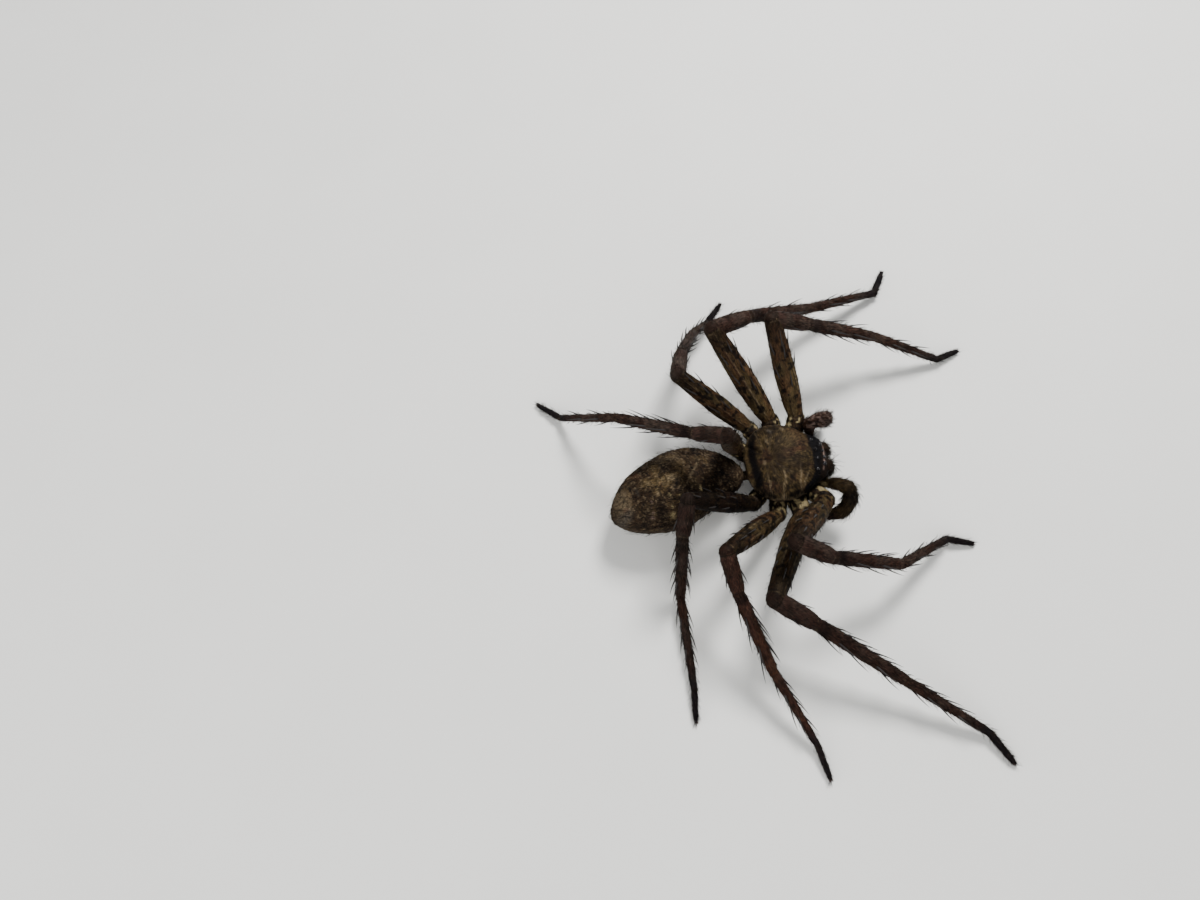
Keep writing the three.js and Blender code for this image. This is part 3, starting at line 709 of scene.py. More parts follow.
ABDOMEN_MARKS = [
    (UMBER, 0.2, -6.6, 0.3, 2.4, 2.6, 0),
    (INK, 0.7, -7.3, 0.1, 0.3, 0.5, 60),
    (INK, 0.5, -6.5, -2.3, 1.0, 0.7, 0),
    (UMBER, 0.6, -9.8, -3.2, 1.4, 0.6, 0),
    (INK, 0.9, -9.1, 3.15, 0.5, 0.75, 0),
    (INK, 0.85, -11.4, -2.85, 0.5, 0.75, 0),
    (OCHRE, 0.55, -9.0, 2.1, 0.9, 0.3, -8),
    (OCHRE, 0.5, -8.45, 1.5, 0.25, 0.3, 0),
    (CREAM, 0.75, -9.85, -1.4, 0.18, 0.38, 0),
    (CREAM, 0.75, -10.1, -1.95, 0.34, 0.2, 20),
    (OLIVE, 0.6, -10.4, -0.6, 0.5, 0.8, 0),
    (TAN, 0.28, -12.1, 2.2, 1.2, 0.7, 0),
    (OLIVE, 0.7, -14.2, 2.1, 0.6, 0.7, 0),
    (RUST, 0.3, -16.2, 1.6, 0.6, 0.4, -20),
    (OCHRE, 0.55, -11.5, 0.9, 0.6, 0.8, 0),
    (OCHRE, 0.95, -13.0, 0.1, 0.95, 0.65, 10),
    (OCHRE, 0.95, -14.1, -0.5, 0.7, 0.9, 0),
    (OCHRE, 0.85, -15.0, 0.2, 0.8, 0.55, 0),
    (OCHRE, 0.7, -14.0, 1.2, 0.5, 0.7, 0),
    (TAN, 0.8, -12.65, 0.1, 0.5, 0.28, -25),
    (TAN, 0.5, -14.4, -1.1, 0.3, 0.3, 0),
    (TAN, 0.45, -15.1, 0.2, 0.3, 0.3, 0),
    (RUST, 0.5, -13.9, -0.5, 0.16, 0.5, 0),
    (INK, 0.7, -13.0, 1.6, 0.45, 0.2, -10),
    (INK, 0.7, -12.2, 0.75, 0.4, 0.13, 30),
    (INK, 0.85, -12.3, -0.45, 0.75, 0.13, 54),
    (INK, 0.6, -14.75, 0.1, 0.1, 0.6, 0),
    (UMBER, 0.75, -14.4, -3.0, 0.5, 1.2, 0),
    (UMBER, 0.75, -16.0, -2.9, 0.45, 1.1, 0),
    (UMBER, 0.6, -15.2, 1.9, 0.35, 0.6, 0),
    (CREAM, 0.5, -13.35, -1.6, 0.15, 0.17, 0),
    (CREAM, 0.4, -13.3, -2.7, 0.14, 0.18, 0),
    (CREAM, 0.6, -13.4, -3.45, 0.22, 0.24, 0),
    (CREAM, 0.35, -12.35, -1.8, 0.12, 0.16, 0),
    (CREAM, 0.35, -12.45, -2.4, 0.12, 0.16, 0),
    (ROSE, 0.5, -15.2, -1.75, 0.12, 0.14, 0),
    (ROSE, 0.5, -15.3, -2.25, 0.12, 0.14, 0),
    (ROSE, 0.5, -15.3, -2.7, 0.12, 0.14, 0),
    (ROSE, 0.5, -15.45, -3.15, 0.15, 0.14, 0),
    (ASH, 0.6, -16.3, -0.35, 0.13, 0.45, 0),
    (TAN, 0.75, -18.0, -0.7, 0.75, 1.3, 0),
    # Painted sheen: this grey patch at the right of the tip stands for light glancing off the hairs there.
    (ASH, 0.7, -18.1, -2.3, 1.0, 0.6, 20),
    (RUST, 0.5, -17.85, -1.6, 0.22, 0.22, 0),
    (INK, 0.9, -17.02, 0.4, 0.6, 0.17, -69),
    (INK, 0.6, -16.92, -0.6, 0.45, 0.1, 80),
    (TAN, 0.6, -9.9, 0.8, 1.4, 0.08, 51),
    (TAN, 0.5, -10.35, 0.45, 1.2, 0.07, 49),
]
ABDOMEN_PITS = [(-9.0, 0.75), (-11.3, 1.15), (-13.8, 0.9)]

# Front of the carapace, as distances ahead at distances to the left: edge of the black eye band
EYE_BAND = [
    (-3.4, 0.8), (-2.8, 1.75), (-2.0, 2.25), (-1.0, 2.35),
    (0.0, 2.6), (1.0, 2.55), (2.0, 2.75), (3.0, 2.95),
]
# Middle of the black band near its rear edge, in the same way
REAR_BAND = [
    (-3.6, -2.9), (-2.8, -3.4), (-2.0, -3.55), (-1.0, -3.55),
    (0.0, -3.5), (1.0, -3.45), (2.0, -3.25), (3.4, -2.6),
]
# Pale lower edge of the face: its distance ahead on the midline, and the slope of its line
FACE_LINE = {"ahead": 4.05, "slope": 0.33}


def paint(colour, other, share):
    share = np.clip(np.asarray(share, float), 0, 1)[:, None]
    return colour + (np.asarray(other) - colour) * share


def spot(places, ahead, aside, length, width, turn):
    """Oval mark on the back with a ragged edge."""
    cos, sin = math.cos(math.radians(turn)), math.sin(math.radians(turn))
    x, y = places.ragged[:, 0] - ahead, places.ragged[:, 1] - aside
    reach = ((x * cos + y * sin) / length) ** 2 + ((y * cos - x * sin) / width) ** 2
    return np.exp(-(reach**1.5))


class Tint:
    """Colours of many places, laid on one over another."""

    def __init__(self, ground, count):
        self.colour = np.tile(np.array(ground, float), (count, 1))

    def add(self, pigment, share):
        self.colour = paint(self.colour, pigment, share)

    def draw(self, places, marks):
        for pigment, strength, *shape in marks:
            self.add(pigment, strength * spot(places, *shape))


def level(places, line):
    """Distance ahead of a line across the back that is given at distances to the left."""
    asides, aheads = zip(*line)
    return places.ragged[:, 0] - np.interp(places.aside, asides, aheads)


def carapace_colour(places):
    ahead, aside, points = places.head_ahead, places.head_aside, places.points
    distance = np.hypot(ahead - FOVEA[0], aside)
    bearing = np.arctan2(aside, ahead - FOVEA[0])
    fan = np.stack([bearing * 3.2, distance * 0.35, 0 * distance], axis=1)
    edge = carapace_half(ahead) - np.abs(aside)
    fovea_aside, fovea_behind, _ = head_point(*FOVEA, 0)
    tint = Tint(OLIVE, len(ahead))
    tint.add(OCHRE, 0.18 * patchy(fan, 0.28, 11, 0.5, 0.9))
    tint.add(UMBER, 0.35 * patchy(fan, 0.2, 12, 0.5, 0.85))
    tint.add(UMBER, 0.6 * patchy(points, 0.5, 13, 0.4, 0.7))
    tint.add(MAROON, 0.4 * patchy(points, 0.9, 14, 0.5, 0.8))
    tint.add(INK, 0.6 * patchy(points, 0.24, 18, 0.5, 0.75))
    tint.add(OCHRE, 0.4 * patchy(points, 0.2, 19, 0.62, 0.85))
    mottle = patchy(points, 0.34, 15, 0.42, 0.62)
    tint.add(INK, 0.75 * mottle * ramp(-edge, -0.7, -0.3))
    tint.add(TAN, 0.5 * (1 - mottle) * ramp(-edge, -0.35, -0.12))
    tint.draw(places, CARAPACE_MARKS)
    tint.add(INK, 0.8 * spot(places, -fovea_behind, fovea_aside, 0.5, 0.07, -HEAD_TURN))
    rear = level(places, REAR_BAND)
    tint.add(OCHRE, 0.5 * ramp(-rear, 0.25, 0.4) * patchy(points, 0.5, 16, 0.25, 0.6))
    fade = 0.55 + 0.45 * ramp(-np.abs(places.aside - 0.4), -3.0, -2.3)
    tint.add(INK, 0.98 * fade * np.exp(-((rear / 0.42) ** 4)))
    front = level(places, EYE_BAND)
    face = places.ahead - FACE_LINE["ahead"] - FACE_LINE["slope"] * places.aside
    tint.add(INK, 0.97 * ramp(front, -0.05, 0.1))
    tint.add(SLATE, 0.35 * ramp(front, 0.1, 0.3) * noise(points, 0.4, 17))
    tint.add(UMBER, 0.8 * ramp(face, -0.5, -0.2))
    face_ends = ramp(-np.abs(places.aside + 0.6), -1.6, -1.3)
    tint.add(ROSE, 0.75 * bump(face, 0, 0.075) * face_ends)
    return tint.colour


def abdomen_colour(places):
    ahead, points = places.ahead, places.points
    across = places.aside - abdomen_aside(ahead)
    back = ramp(np.cos(places.round), -0.25, 0.25)
    tint = Tint(np.multiply(BROWN, 1.35), len(ahead))
    tint.add(UMBER, 0.5 * patchy(points, 0.9, 21, 0.35, 0.7))
    tint.add(OCHRE, 0.3 * patchy(points, 0.5, 22, 0.55, 0.8) * ramp(-ahead, 8.5, 10.5))
    tint.draw(places, ABDOMEN_MARKS)
    speckles = patchy(points * [1.0, 1.6, 1.0], 0.22, 26, 0.55, 0.75)
    tint.add(INK, 0.5 * speckles)
    tint.add(TAN, 0.4 * patchy(points * [1.0, 1.6, 1.0], 0.2, 25, 0.6, 0.8))
    for seed, size in ((27, 0.8), (28, 0.5)):
        wave = np.abs(noise(points * [0.8, 1.5, 1.0], size, seed) - 0.5)
        where = patchy(points, 1.2, 29, 0.35, 0.55)
        tint.add(INK, 0.7 * ramp(-wave, -0.05, -0.015) * where)
    for pit_ahead, pit_aside in ABDOMEN_PITS:
        near = np.hypot(ahead - pit_ahead, np.abs(across) - pit_aside)
        tint.add(UMBER, 0.7 * bump(near, 0, 0.16))
    under = Tint(BROWN, len(ahead))
    under.add(ASH, 0.45 - 0.35 * bump(np.abs(across), 1.1, 0.35))
    under.add(TAN, 0.25 * patchy(points, 0.6, 30, 0.4, 0.7))
    return under.colour + (tint.colour - under.colour) * back[:, None]


def leg_colour(places):
    points, along, length = places.points, places.along, places.length
    angle = np.degrees(places.round)
    # How light each leg is; for the fourth right leg this is partly painted shade.
    tone = np.take(LEG_TONES_AND_SHADE, places.limb, mode="clip")
    red = np.take(LEG_REDS, places.limb, mode="clip")
    drawn = np.stack([along * length * 0.4, places.round * places.radius, places.limb * 9.0], axis=1)
    hip, thigh, foot = places.on("coxa"), places.on("femur"), places.on("tarsus")
    shank = places.on("tibia", "metatarsus")
    lower = places.on("patella", "tibia", "metatarsus", "tarsus")
    tint = Tint(PLUM, len(along))
    tint.colour[thigh] = OLIVE
    # Painted shade: the fourth right femur is coloured dark, and its pale marks are dimmed, for the shade
    # it lies in beside the abdomen.
    tint.colour[thigh & (places.limb == 7)] = UMBER
    tint.colour[hip] = BROWN
    # Strength of the pale femur marks, cut down on the fourth right femur as painted shade.
    marks_dimmed_by_painted_shade = np.where(places.limb == 7, 0.25, 1.0)
    tint.add(MAROON, lower * red * 0.8)

    tint.add(OCHRE, thigh * marks_dimmed_by_painted_shade * 0.5 * patchy(drawn, 0.4, 41, 0.4, 0.75))
    tint.add(OCHRE, thigh * marks_dimmed_by_painted_shade * 0.45 * ramp(-along, -0.3, -0.05))
    for middle, width in ((30, 4), (-34, 4), (66, 5), (-70, 5)):
        broken = ramp(noise(drawn, 0.8, 42 + abs(middle)), 0.35, 0.6)
        beside = bump(angle, middle + 2.2 * width, width)
        tint.add(TAN, thigh * marks_dimmed_by_painted_shade * 0.55 * broken * bump(angle, middle, width))
        tint.add(INK, (thigh * 0.8 + lower * 0.35) * broken * beside)
    tint.add(RUST, thigh * marks_dimmed_by_painted_shade * 0.4 * patchy(drawn, 0.7, 57, 0.35, 0.7))
    blots = ramp(noise(points, 0.42, 43) + 0.08 * (places.limb == 6), 0.58, 0.72)
    tint.add(INK, thigh * 0.85 * blots)
    tint.add(INK, thigh * 0.5 * patchy(drawn, 0.2, 50, 0.5, 0.8))
    tint.add(UMBER, lower * 0.6 * patchy(points, 0.6, 47, 0.5, 0.75))
    tint.add(UMBER, thigh * 0.75 * ramp(along, 0.6, 0.95))
    tint.add(RUST, shank * 0.4 * red * patchy(points, 1.3, 45, 0.4, 0.8))
    tint.add(ASH, lower * 0.25 * (1.1 - red) * patchy(points, 0.8, 44, 0.35, 0.7))
    tint.add(INK, places.on("tibia") * 0.65 * bump(along, 0.08, 0.07))
    tint.add(SLATE, places.on("metatarsus") * 0.75 * ramp(along, 0.6, 1.0))
    tint.add(SLATE, foot * 0.7)
    for kind, (_, rows) in SPINES.items():
        for turn, spots in rows:
            for place in spots:
                near = np.hypot((along - place) * length, np.radians(angle - turn) * places.radius)
                tint.add(INK, places.on(kind) * 0.7 * bump(near, 0, 0.15))
    tint.add(INK, hip * 0.85 * patchy(points, 0.34, 46, 0.42, 0.58))
    tint.add(CREAM, hip * 0.75 * patchy(points, 0.36, 48, 0.56, 0.7) * ramp(along, 0.2, 0.5))
    below = ramp(np.abs(angle), 105, 150)
    tint.add(ASH, (thigh + lower) * 0.35 * below)
    joint = np.minimum(along, 1 - along) * length
    inner = ~(foot & (along > 0.5)) & ~(hip & (along < 0.5))
    tint.add(UMBER, 0.6 * inner * ramp(-joint, -0.12, 0))
    tint.add(TAN, 0.25 * inner * bump(joint, 0.22, 0.07) * patchy(points, 0.4, 49, 0.4, 0.7))
    ankle = places.on("metatarsus") & (along < 0.5)
    tint.add(RUST, 0.6 * ankle * red * bump(joint, 0.1, 0.14))
    return tint.colour * tone[:, None]


def face_colour(places):
    points, along = places.points, places.along
    tint = Tint(BROWN, len(along))
    feeler = places.on("palp")
    left = feeler & (places.limb == 8)
    right = feeler & (places.limb == 9)
    tint.add(MAROON, feeler * 0.6)
    tint.add(INK, feeler * 0.7 * patchy(points, 0.36, 51, 0.45, 0.65))
    tint.add(ROSE, left * 0.6 * ramp(along, 0.25, 0.4) * patchy(points, 0.22, 52, 0.55, 0.7))
    tint.add(OLIVE, right * 0.85 * ramp(-along, -0.95, -0.8))
    tint.add(UMBER, right * 0.6 * patchy(points, 0.5, 55, 0.45, 0.7))
    tint.add(INK, right * 0.8 * bump(along, 0.55, 0.08))
    base = right * 0.6 * ramp(-along, -0.22, -0.1)
    tint.add(CREAM, base * patchy(points, 0.3, 56, 0.4, 0.6))
    tint.add(INK, feeler * 0.8 * ramp(along, 0.86, 0.97))
    jaw = places.on("chelicera")
    tint.add(UMBER, jaw * (0.3 + 0.4 * noise(points, 0.5, 53)))
    below = places.on("underside", "mouth")
    tint.add(OCHRE, below * 0.35 * noise(points, 0.8, 54))
    tint.add(OLIVE, places.on("pedicel", "spinneret") * 0.6)
    return tint.colour


def markings(places):
    """Colour of the skin, and of the coat that grows from it, at each place."""
    colour = face_colour(places)
    for chosen, painter in (
        (places.on("carapace"), carapace_colour),
        (places.on("abdomen"), abdomen_colour),
        (places.on(*SEGMENTS), leg_colour),
    ):
        colour[chosen] = painter(places)[chosen]
    return colour


# Coat: hairs to the square millimetre, their length and lift in degrees, and how many stand out
COAT = {
    "carapace": (80, 0.22, 12, 0.03),
    "abdomen": (56, 0.42, 13, 0.05),
    "coxa": (45, 0.32, 22, 0.06),
    "femur": (56, 0.36, 13, 0.05),
    "patella": (56, 0.36, 15, 0.06),
    "tibia": (62, 0.40, 17, 0.09),
    "metatarsus": (75, 0.38, 20, 0.10),
    "tarsus": (125, 0.34, 30, 0.10),
    "palp": (70, 0.42, 28, 0.22),
    "chelicera": (75, 0.7, 30, 0.15),
    "mouth": (30, 0.35, 20, 0.05),
    "underside": (22, 0.30, 15, 0.03),
    "pedicel": (12, 0.25, 15, 0.0),
    "spinneret": (45, 0.26, 20, 0.0),
}
HAIR_RADIUS = 0.017
HAIR_ROOT = 0.03
HAIR_SIDES = 3
# Spread of length, lift, lie and tone from hair to hair
LENGTH_SPREAD = (0.65, 1.25)
LIFT_SPREAD = (0.5, 1.5)
LIE_SPREAD = 0.22
TONE_SPREAD = (-0.1, 0.6)
# Hairs that stand out: length, lift and thickness against the others, and how black they are
LONG_HAIR = 2.1
LONG_LIFT = 38
LONG_THICKNESS = 1.35
LONG_BLACK = 0.55
# How light a hair is at the corners of its root, of its bend and at its tip
HAIR_SHADES = (0.8, 0.8, 0.8, 1.0, 1.0, 1.0, 1.3)
PATCH = 0.003
# Stray colours: the colour, its strength and its share of the hairs
STRAY_HAIRS = [((0.15, 0.115, 0.075), 0.35, 0.07), (INK, 0.7, 0.18)]


class Hairs:
    """Roots on the skin, and the bent spikes that grow from them."""

    def __init__(self, mesh, points, places, colours, seed):
        self.random = np.random.default_rng(seed)
        self.points, self.places, self.colours = points, places, colours
        mesh.calc_loop_triangles()
        corners = np.zeros(len(mesh.loop_triangles) * 3, int)
        mesh.loop_triangles.foreach_get("vertices", corners)
        self.triangles = corners.reshape(-1, 3)
        a, b, c = (points[self.triangles[:, i]] for i in range(3))
        cross = np.cross(b - a, c - a)
        size = np.linalg.norm(cross, axis=1)
        self.areas = size / 2
        self.normals = cross / np.maximum(size, 1e-12)[:, None]
        self.table = np.array([COAT[part] for part in PARTS], float)

    def grow(self, name, chosen, layout):
        """One piece of the coat, on the chosen vertices. layout places each root on the piece's map."""
        random, places = self.random, self.places
        home = self.triangles[:, 0]
        wanted = self.areas * self.table[places.part[home], 0] * chosen[home]
        total = np.cumsum(wanted)
        count = int(total[-1])
        row = np.searchsorted(total, random.uniform(0, total[-1], count))
        row = np.minimum(row, len(total) - 1)
        share = random.dirichlet((1, 1, 1), count)
        root = np.einsum("ij,ijk->ik", share, self.points[self.triangles[row]])
        vertex = home[row]
        normal = self.normals[row]
        part = places.part[vertex]
        size, lift, stray = self.table[part, 1], self.table[part, 2], self.table[part, 3]
        long = random.random(count) < stray
        length = size * random.uniform(*LENGTH_SPREAD, count) * np.where(long, LONG_HAIR, 1)
        lift = np.radians(np.where(long, LONG_LIFT, lift) * random.uniform(*LIFT_SPREAD, count))
        lie = places.lie[vertex] + LIE_SPREAD * random.normal(size=(count, 3))
        lie -= normal * np.sum(lie * normal, axis=1)[:, None]
        lie /= np.maximum(np.linalg.norm(lie, axis=1), 1e-6)[:, None]
        colour = self.colours[vertex] * np.exp(random.normal(*TONE_SPREAD, count))[:, None]
        for pigment, strength, part_of_all in STRAY_HAIRS:
            colour = paint(colour, pigment, strength * (random.random(count) < part_of_all))
        colour = paint(colour, INK, LONG_BLACK * long)
        radius = HAIR_RADIUS * np.where(long, LONG_THICKNESS, 1)
        spikes = self.spikes(root, normal, lie, lift, length, radius)
        return self.piece(name, spikes, colour, layout(places, vertex))

    def spikes(self, root, normal, lie, lift, length, radius):
        """Three-sided spikes that leave the skin at their lift and bend over towards it."""
        cos, sin = np.cos(lift)[:, None], np.sin(lift)[:, None]
        first = lie * cos + normal * sin
        second = lie * np.cos(lift * 0.35)[:, None] + normal * np.sin(lift * 0.35)[:, None]
        base = root - normal * HAIR_ROOT
        knee = base + first * (length * 0.5)[:, None]
        tip = knee + second * (length * 0.5)[:, None]
        across = np.cross(lie, normal)
        rings = []
        for middle, width in ((base, 1.0), (knee, 0.75)):
            for turn in range(HAIR_SIDES):
                angle = 2 * math.pi * turn / HAIR_SIDES
                out = across * math.cos(angle) + normal * math.sin(angle)
                rings.append(middle + out * (radius * width)[:, None])
        return np.stack(rings + [tip], axis=1)

    def piece(self, name, spikes, colour, roots):
        count, corners = spikes.shape[:2]
        loops = [(2, 1, 0), (0, 1, 4, 3), (1, 2, 5, 4), (2, 0, 3, 5), (3, 4, 6), (4, 5, 6), (5, 3, 6)]
        flat = np.concatenate([np.array(loop) for loop in loops])
        sizes = np.array([len(loop) for loop in loops])
        mesh = bpy.data.meshes.new(name)
        mesh.vertices.add(count * corners)
        mesh.vertices.foreach_set("co", to_world(spikes.reshape(-1, 3)).ravel())
        index = (np.arange(count)[:, None] * corners + flat).ravel()
        mesh.loops.add(len(index))
        mesh.loops.foreach_set("vertex_index", index)
        starts = (np.arange(count)[:, None] * len(flat) + np.cumsum(sizes) - sizes).ravel()
        mesh.polygons.add(count * len(loops))
        mesh.polygons.foreach_set("loop_start", starts)
        mesh.polygons.foreach_set("use_smooth", np.ones(len(starts), bool))
        mesh.update(calc_edges=True)
        tint = colour[:, None, :] * np.array(HAIR_SHADES)[None, :, None]
        store_colour(mesh, tint.reshape(-1, 3))
        spread = np.array([(-1, -1), (0, -1), (1, -1), (-1, 0), (0, 0), (1, 0), (0, 1)]) * PATCH / 2
        corner_places = (roots[:, None, :] + spread[None]).reshape(-1, 2)
        uv = mesh.uv_layers.new(name="OFBake")
        uv.data.foreach_set("uv", corner_places[index].astype(np.float32).ravel())
        return add_piece(name, mesh)


def to_world(points):
    return np.maximum(points, (-np.inf, -np.inf, FLOOR_GAP)) * MM + SHIFT


def add_piece(name, mesh):
    piece = bpy.data.objects.new(name, mesh)
    bpy.context.scene.collection.objects.link(piece)
    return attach(piece, "root")


def store_colour(mesh, colours):
    layer = mesh.attributes.new("marking", "FLOAT_COLOR", "POINT")
    rgba = np.ones((len(colours), 4), np.float32)
    rgba[:, :3] = np.clip(colours, 0, 1)
    layer.data.foreach_set("color", rgba.ravel())


def store_grain(mesh, places):
    """Place along and round each part in millimetres, for the fine lie of the short coat."""
    layer = mesh.attributes.new("grain", "FLOAT_VECTOR", "POINT")
    outward = np.hypot(places.head_ahead - FOVEA[0], places.head_aside)
    bearing = np.arctan2(places.head_aside, places.head_ahead - FOVEA[0])
    shield, belly = places.on("carapace"), places.on("abdomen")
    along = np.where(shield, outward, np.where(belly, -places.ahead, places.along * places.length))
    limb_round = places.round * places.radius
    across = np.where(shield, bearing * 2.5, np.where(belly, places.round * 3.5, limb_round))
    grain = np.stack([along, across, places.part * 7.0 + places.limb], axis=1)
    layer.data.foreach_set("vector", grain.astype(np.float32).ravel())


# Finishes

# Hard finishes: deep colour, colour of the lighter clouds, and roughness
HORNS = {
    "spine": ((0.003, 0.002, 0.002), (0.012, 0.007, 0.005), 0.62),
    "horn": ((0.01, 0.006, 0.005), (0.05, 0.018, 0.01), 0.18),
}
EYE_TINTS = ((0.002, 0.002, 0.003, 1), (0.01, 0.008, 0.008, 1))
EYE_GLOSS = {"Coat Roughness": 0.02, "Coat IOR": 1.22, "Specular IOR Level": 0.1}
FLOOR_TINTS = ((0.70, 0.69, 0.655, 1), (0.76, 0.75, 0.715, 1))


class Wire:
    """One output of a material's nodes, used in Python expressions."""

    def __init__(self, finish, socket):
        self.finish = finish
        self.socket = socket

    def math(self, operation, first, second):
        return self.finish.node("ShaderNodeMath", {"operation": operation}, {0: first, 1: second})

    def __add__(self, other):
        return self.math("ADD", self, other)

    def __sub__(self, other):
        return self.math("SUBTRACT", self, other)

    def __rsub__(self, other):
        return self.math("SUBTRACT", other, self)

    def __mul__(self, other):
        return self.math("MULTIPLY", self, other)

    __radd__ = __add__
    __rmul__ = __mul__


class Finish:
    """A material and its shader."""

    def __init__(self, name):
        self.material = bpy.data.materials.new(name)
        self.material.use_nodes = True
        self.tree = self.material.node_tree
        self.shader = self.tree.nodes["Principled BSDF"]

    def set(self, **values):
        for name, value in values.items():
            self.connect(self.shader.inputs[name.replace("_", " ")], value)
        return self

    def connect(self, target, value):
        if isinstance(value, Wire):
            self.tree.links.new(value.socket, target)
        else:
            target.default_value = value

    def node(self, kind, settings, sockets, output=0):
        node = self.tree.nodes.new(kind)
        for name, value in settings.items():
            setattr(node, name, value)
        for name, value in sockets.items():
            self.connect(node.inputs[name], value)
        return Wire(self, node.outputs[output])

    def attribute(self, name, output):
        return self.node("ShaderNodeAttribute", {"attribute_name": name}, {}, output)

    def noise(self, where, scale, detail=3.0):
        return self.node("ShaderNodeTexNoise", {}, {"Vector": where, "Scale": scale, "Detail": detail})

    def mix(self, share, first, second, blend="MIX"):
        settings = {"data_type": "RGBA", "blend_type": blend}
        return self.node("ShaderNodeMix", settings, {0: share, 6: first, 7: second}, 2)

    def stretch(self, where, scale):
        return self.node("ShaderNodeVectorMath", {"operation": "MULTIPLY"}, {0: where, 1: scale})

    def bump(self, height, strength, distance):
        sockets = {"Height": height, "Strength": strength, "Distance": distance}
        return self.node("ShaderNodeBump", {}, sockets)


def skin_finish():
    finish = Finish("skin")
    marking = finish.attribute("marking", "Color")
    grain = finish.attribute("grain", "Vector")
    streaks = finish.noise(finish.stretch(grain, (2.2, 14.0, 1.0)), 1.0)
    grit = finish.noise(finish.stretch(grain, (9.0, 9.0, 1.0)), 1.0)
    dark = finish.mix(1.0, marking, (0.2, 0.19, 0.18, 1), "MULTIPLY")
    light = finish.mix(1.0, marking, (1.8, 1.75, 1.7, 1), "MULTIPLY")
    colour = finish.mix(streaks * 2.4 - 0.7, dark, light)
    relief = streaks * 0.7 + grit * 0.3
    return finish.set(
        Base_Color=colour,
        Roughness=0.5 + 0.3 * grit,
        Normal=finish.bump(relief, 0.6, 0.00006),
        Specular_IOR_Level=0.05,
    ).material


def coat_finish():
    finish = Finish("coat")
    marking = finish.attribute("marking", "Color")
    where = finish.node("ShaderNodeTexCoord", {}, {}, "Object")
    patches = finish.noise(where, 2600.0, 2.0)
    dark = finish.mix(1.0, marking, (0.75, 0.72, 0.7, 1), "MULTIPLY")
    return finish.set(
        Base_Color=finish.mix(patches, dark, marking),
        Roughness=0.5 + 0.2 * patches,
        Specular_IOR_Level=0.04,
    ).material


def horn_finish(name, deep, edge, roughness):
    finish = Finish(name)
    where = finish.node("ShaderNodeTexCoord", {}, {}, "Object")
    cloud = finish.noise(where, 4200.0, 3.0)
    return finish.set(
        Base_Color=finish.mix(cloud, (*deep, 1), (*edge, 1)),
        Roughness=roughness + 0.15 * cloud,
        Normal=finish.bump(cloud, 0.15, 0.00002),
    ).material


def eye_finish():
    finish = Finish("eye")
    where = finish.node("ShaderNodeTexCoord", {}, {}, "Object")
    cloud = finish.noise(where, 5200.0, 2.0)
    for socket, value in EYE_GLOSS.items():
        finish.shader.inputs[socket].default_value = value
    return finish.set(
        Base_Color=finish.mix(cloud, *EYE_TINTS),
        Roughness=0.12 + 0.08 * cloud,
        Coat_Weight=1.0,
    ).material


def floor_finish():
    finish = Finish("floor")
    where = finish.node("ShaderNodeTexCoord", {}, {}, "Object")
    cloud = finish.noise(where, 60.0, 4.0)
    return finish.set(
        Base_Color=finish.mix(cloud, *FLOOR_TINTS),
        Roughness=0.65 + 0.1 * cloud,
    ).material


# Spines, eyes, fangs and claws


def tapered_tube(shell, path, radii, sides=8):
    """Closed tube through the points of a path."""
    path = np.array(path, float)
    rings = []
    for i, point in enumerate(path):
        axis = unit(path[min(i + 1, len(path) - 1)] - path[max(i - 1, 0)])
        aim = np.array([0.0, 0.0, 1.0]) if abs(axis[2]) < 0.9 else np.array([0.0, 1.0, 0.0])
        up = unit(aim - axis * axis.dot(aim))
        side = np.cross(up, axis)
        angles = np.linspace(0, 2 * math.pi, sides, endpoint=False)
        out = np.multiply.outer(np.cos(angles), up) + np.multiply.outer(np.sin(angles), side)
        rings.append(point + out * radii[i])
    shell.loft(rings)


def even_numbers(seed):
    """The same small generator of even random numbers that sets the spines of the solids."""
    state = seed
    while True:
        state = (state * 1664525 + 1013904223) % 4294967296
        yield state / 4294967296


def spine_path(bar, turn, place, size):
    out = bar.out(math.radians(turn))
    root = bar.start + bar.axis * place * bar.length + out * bar.radius(place)
    lean = math.radians(SPINE_LEAN)
    steps = np.linspace(0, 1, len(SPINE_TAPER))
    reach = size * steps
    rise = size * math.sin(lean) * (steps - SPINE_CURVE * steps**2) / (1 - SPINE_CURVE)
    return [root - out * SPINE_ROOT + bar.axis * a * math.cos(lean) + out * b for a, b in zip(reach, rise)]


def make_spines():
    numbers = even_numbers(SEED)

    def vary():
        return 1 + SPINE_SPREAD * (2 * next(numbers) - 1)

    pieces = []
    for bars in LIMBS:
        shell = Shell()
        for bar in bars:
            if bar.kind not in SPINES:
                continue
            length, rows = SPINES[bar.kind]
            for turn, places in rows:
                for place in places:
                    where = place * vary()
                    size = length * vary()
                    radii = SPINE_RADIUS * np.array(SPINE_TAPER)
                    tapered_tube(shell, spine_path(bar, turn, where, size), radii)
        side = "left" if bars[0].limb < 4 else "right"
        name = f"spines_{side}_{bars[0].limb % 4 + 1}"
        pieces.append(finished(name, shell))
    return pieces


def finished(name, shell):
    mesh = shell.mesh(name)
    points = np.concatenate(shell.points)
    mesh.vertices.foreach_set("co", to_world(points).ravel())
    mesh.polygons.foreach_set("use_smooth", np.ones(len(mesh.polygons), bool))
    mesh.update()
    return add_piece(name, mesh)


# Claws: points as distance past the foot and height, and the thickness there
CLAW_BEND = [(0, 0.02), (0.1, 0.1), (0.2, 0.1), (0.28, 0.03), (0.31, -0.08)]
CLAW_RADII = [0.06, 0.055, 0.045, 0.03, 0.008]


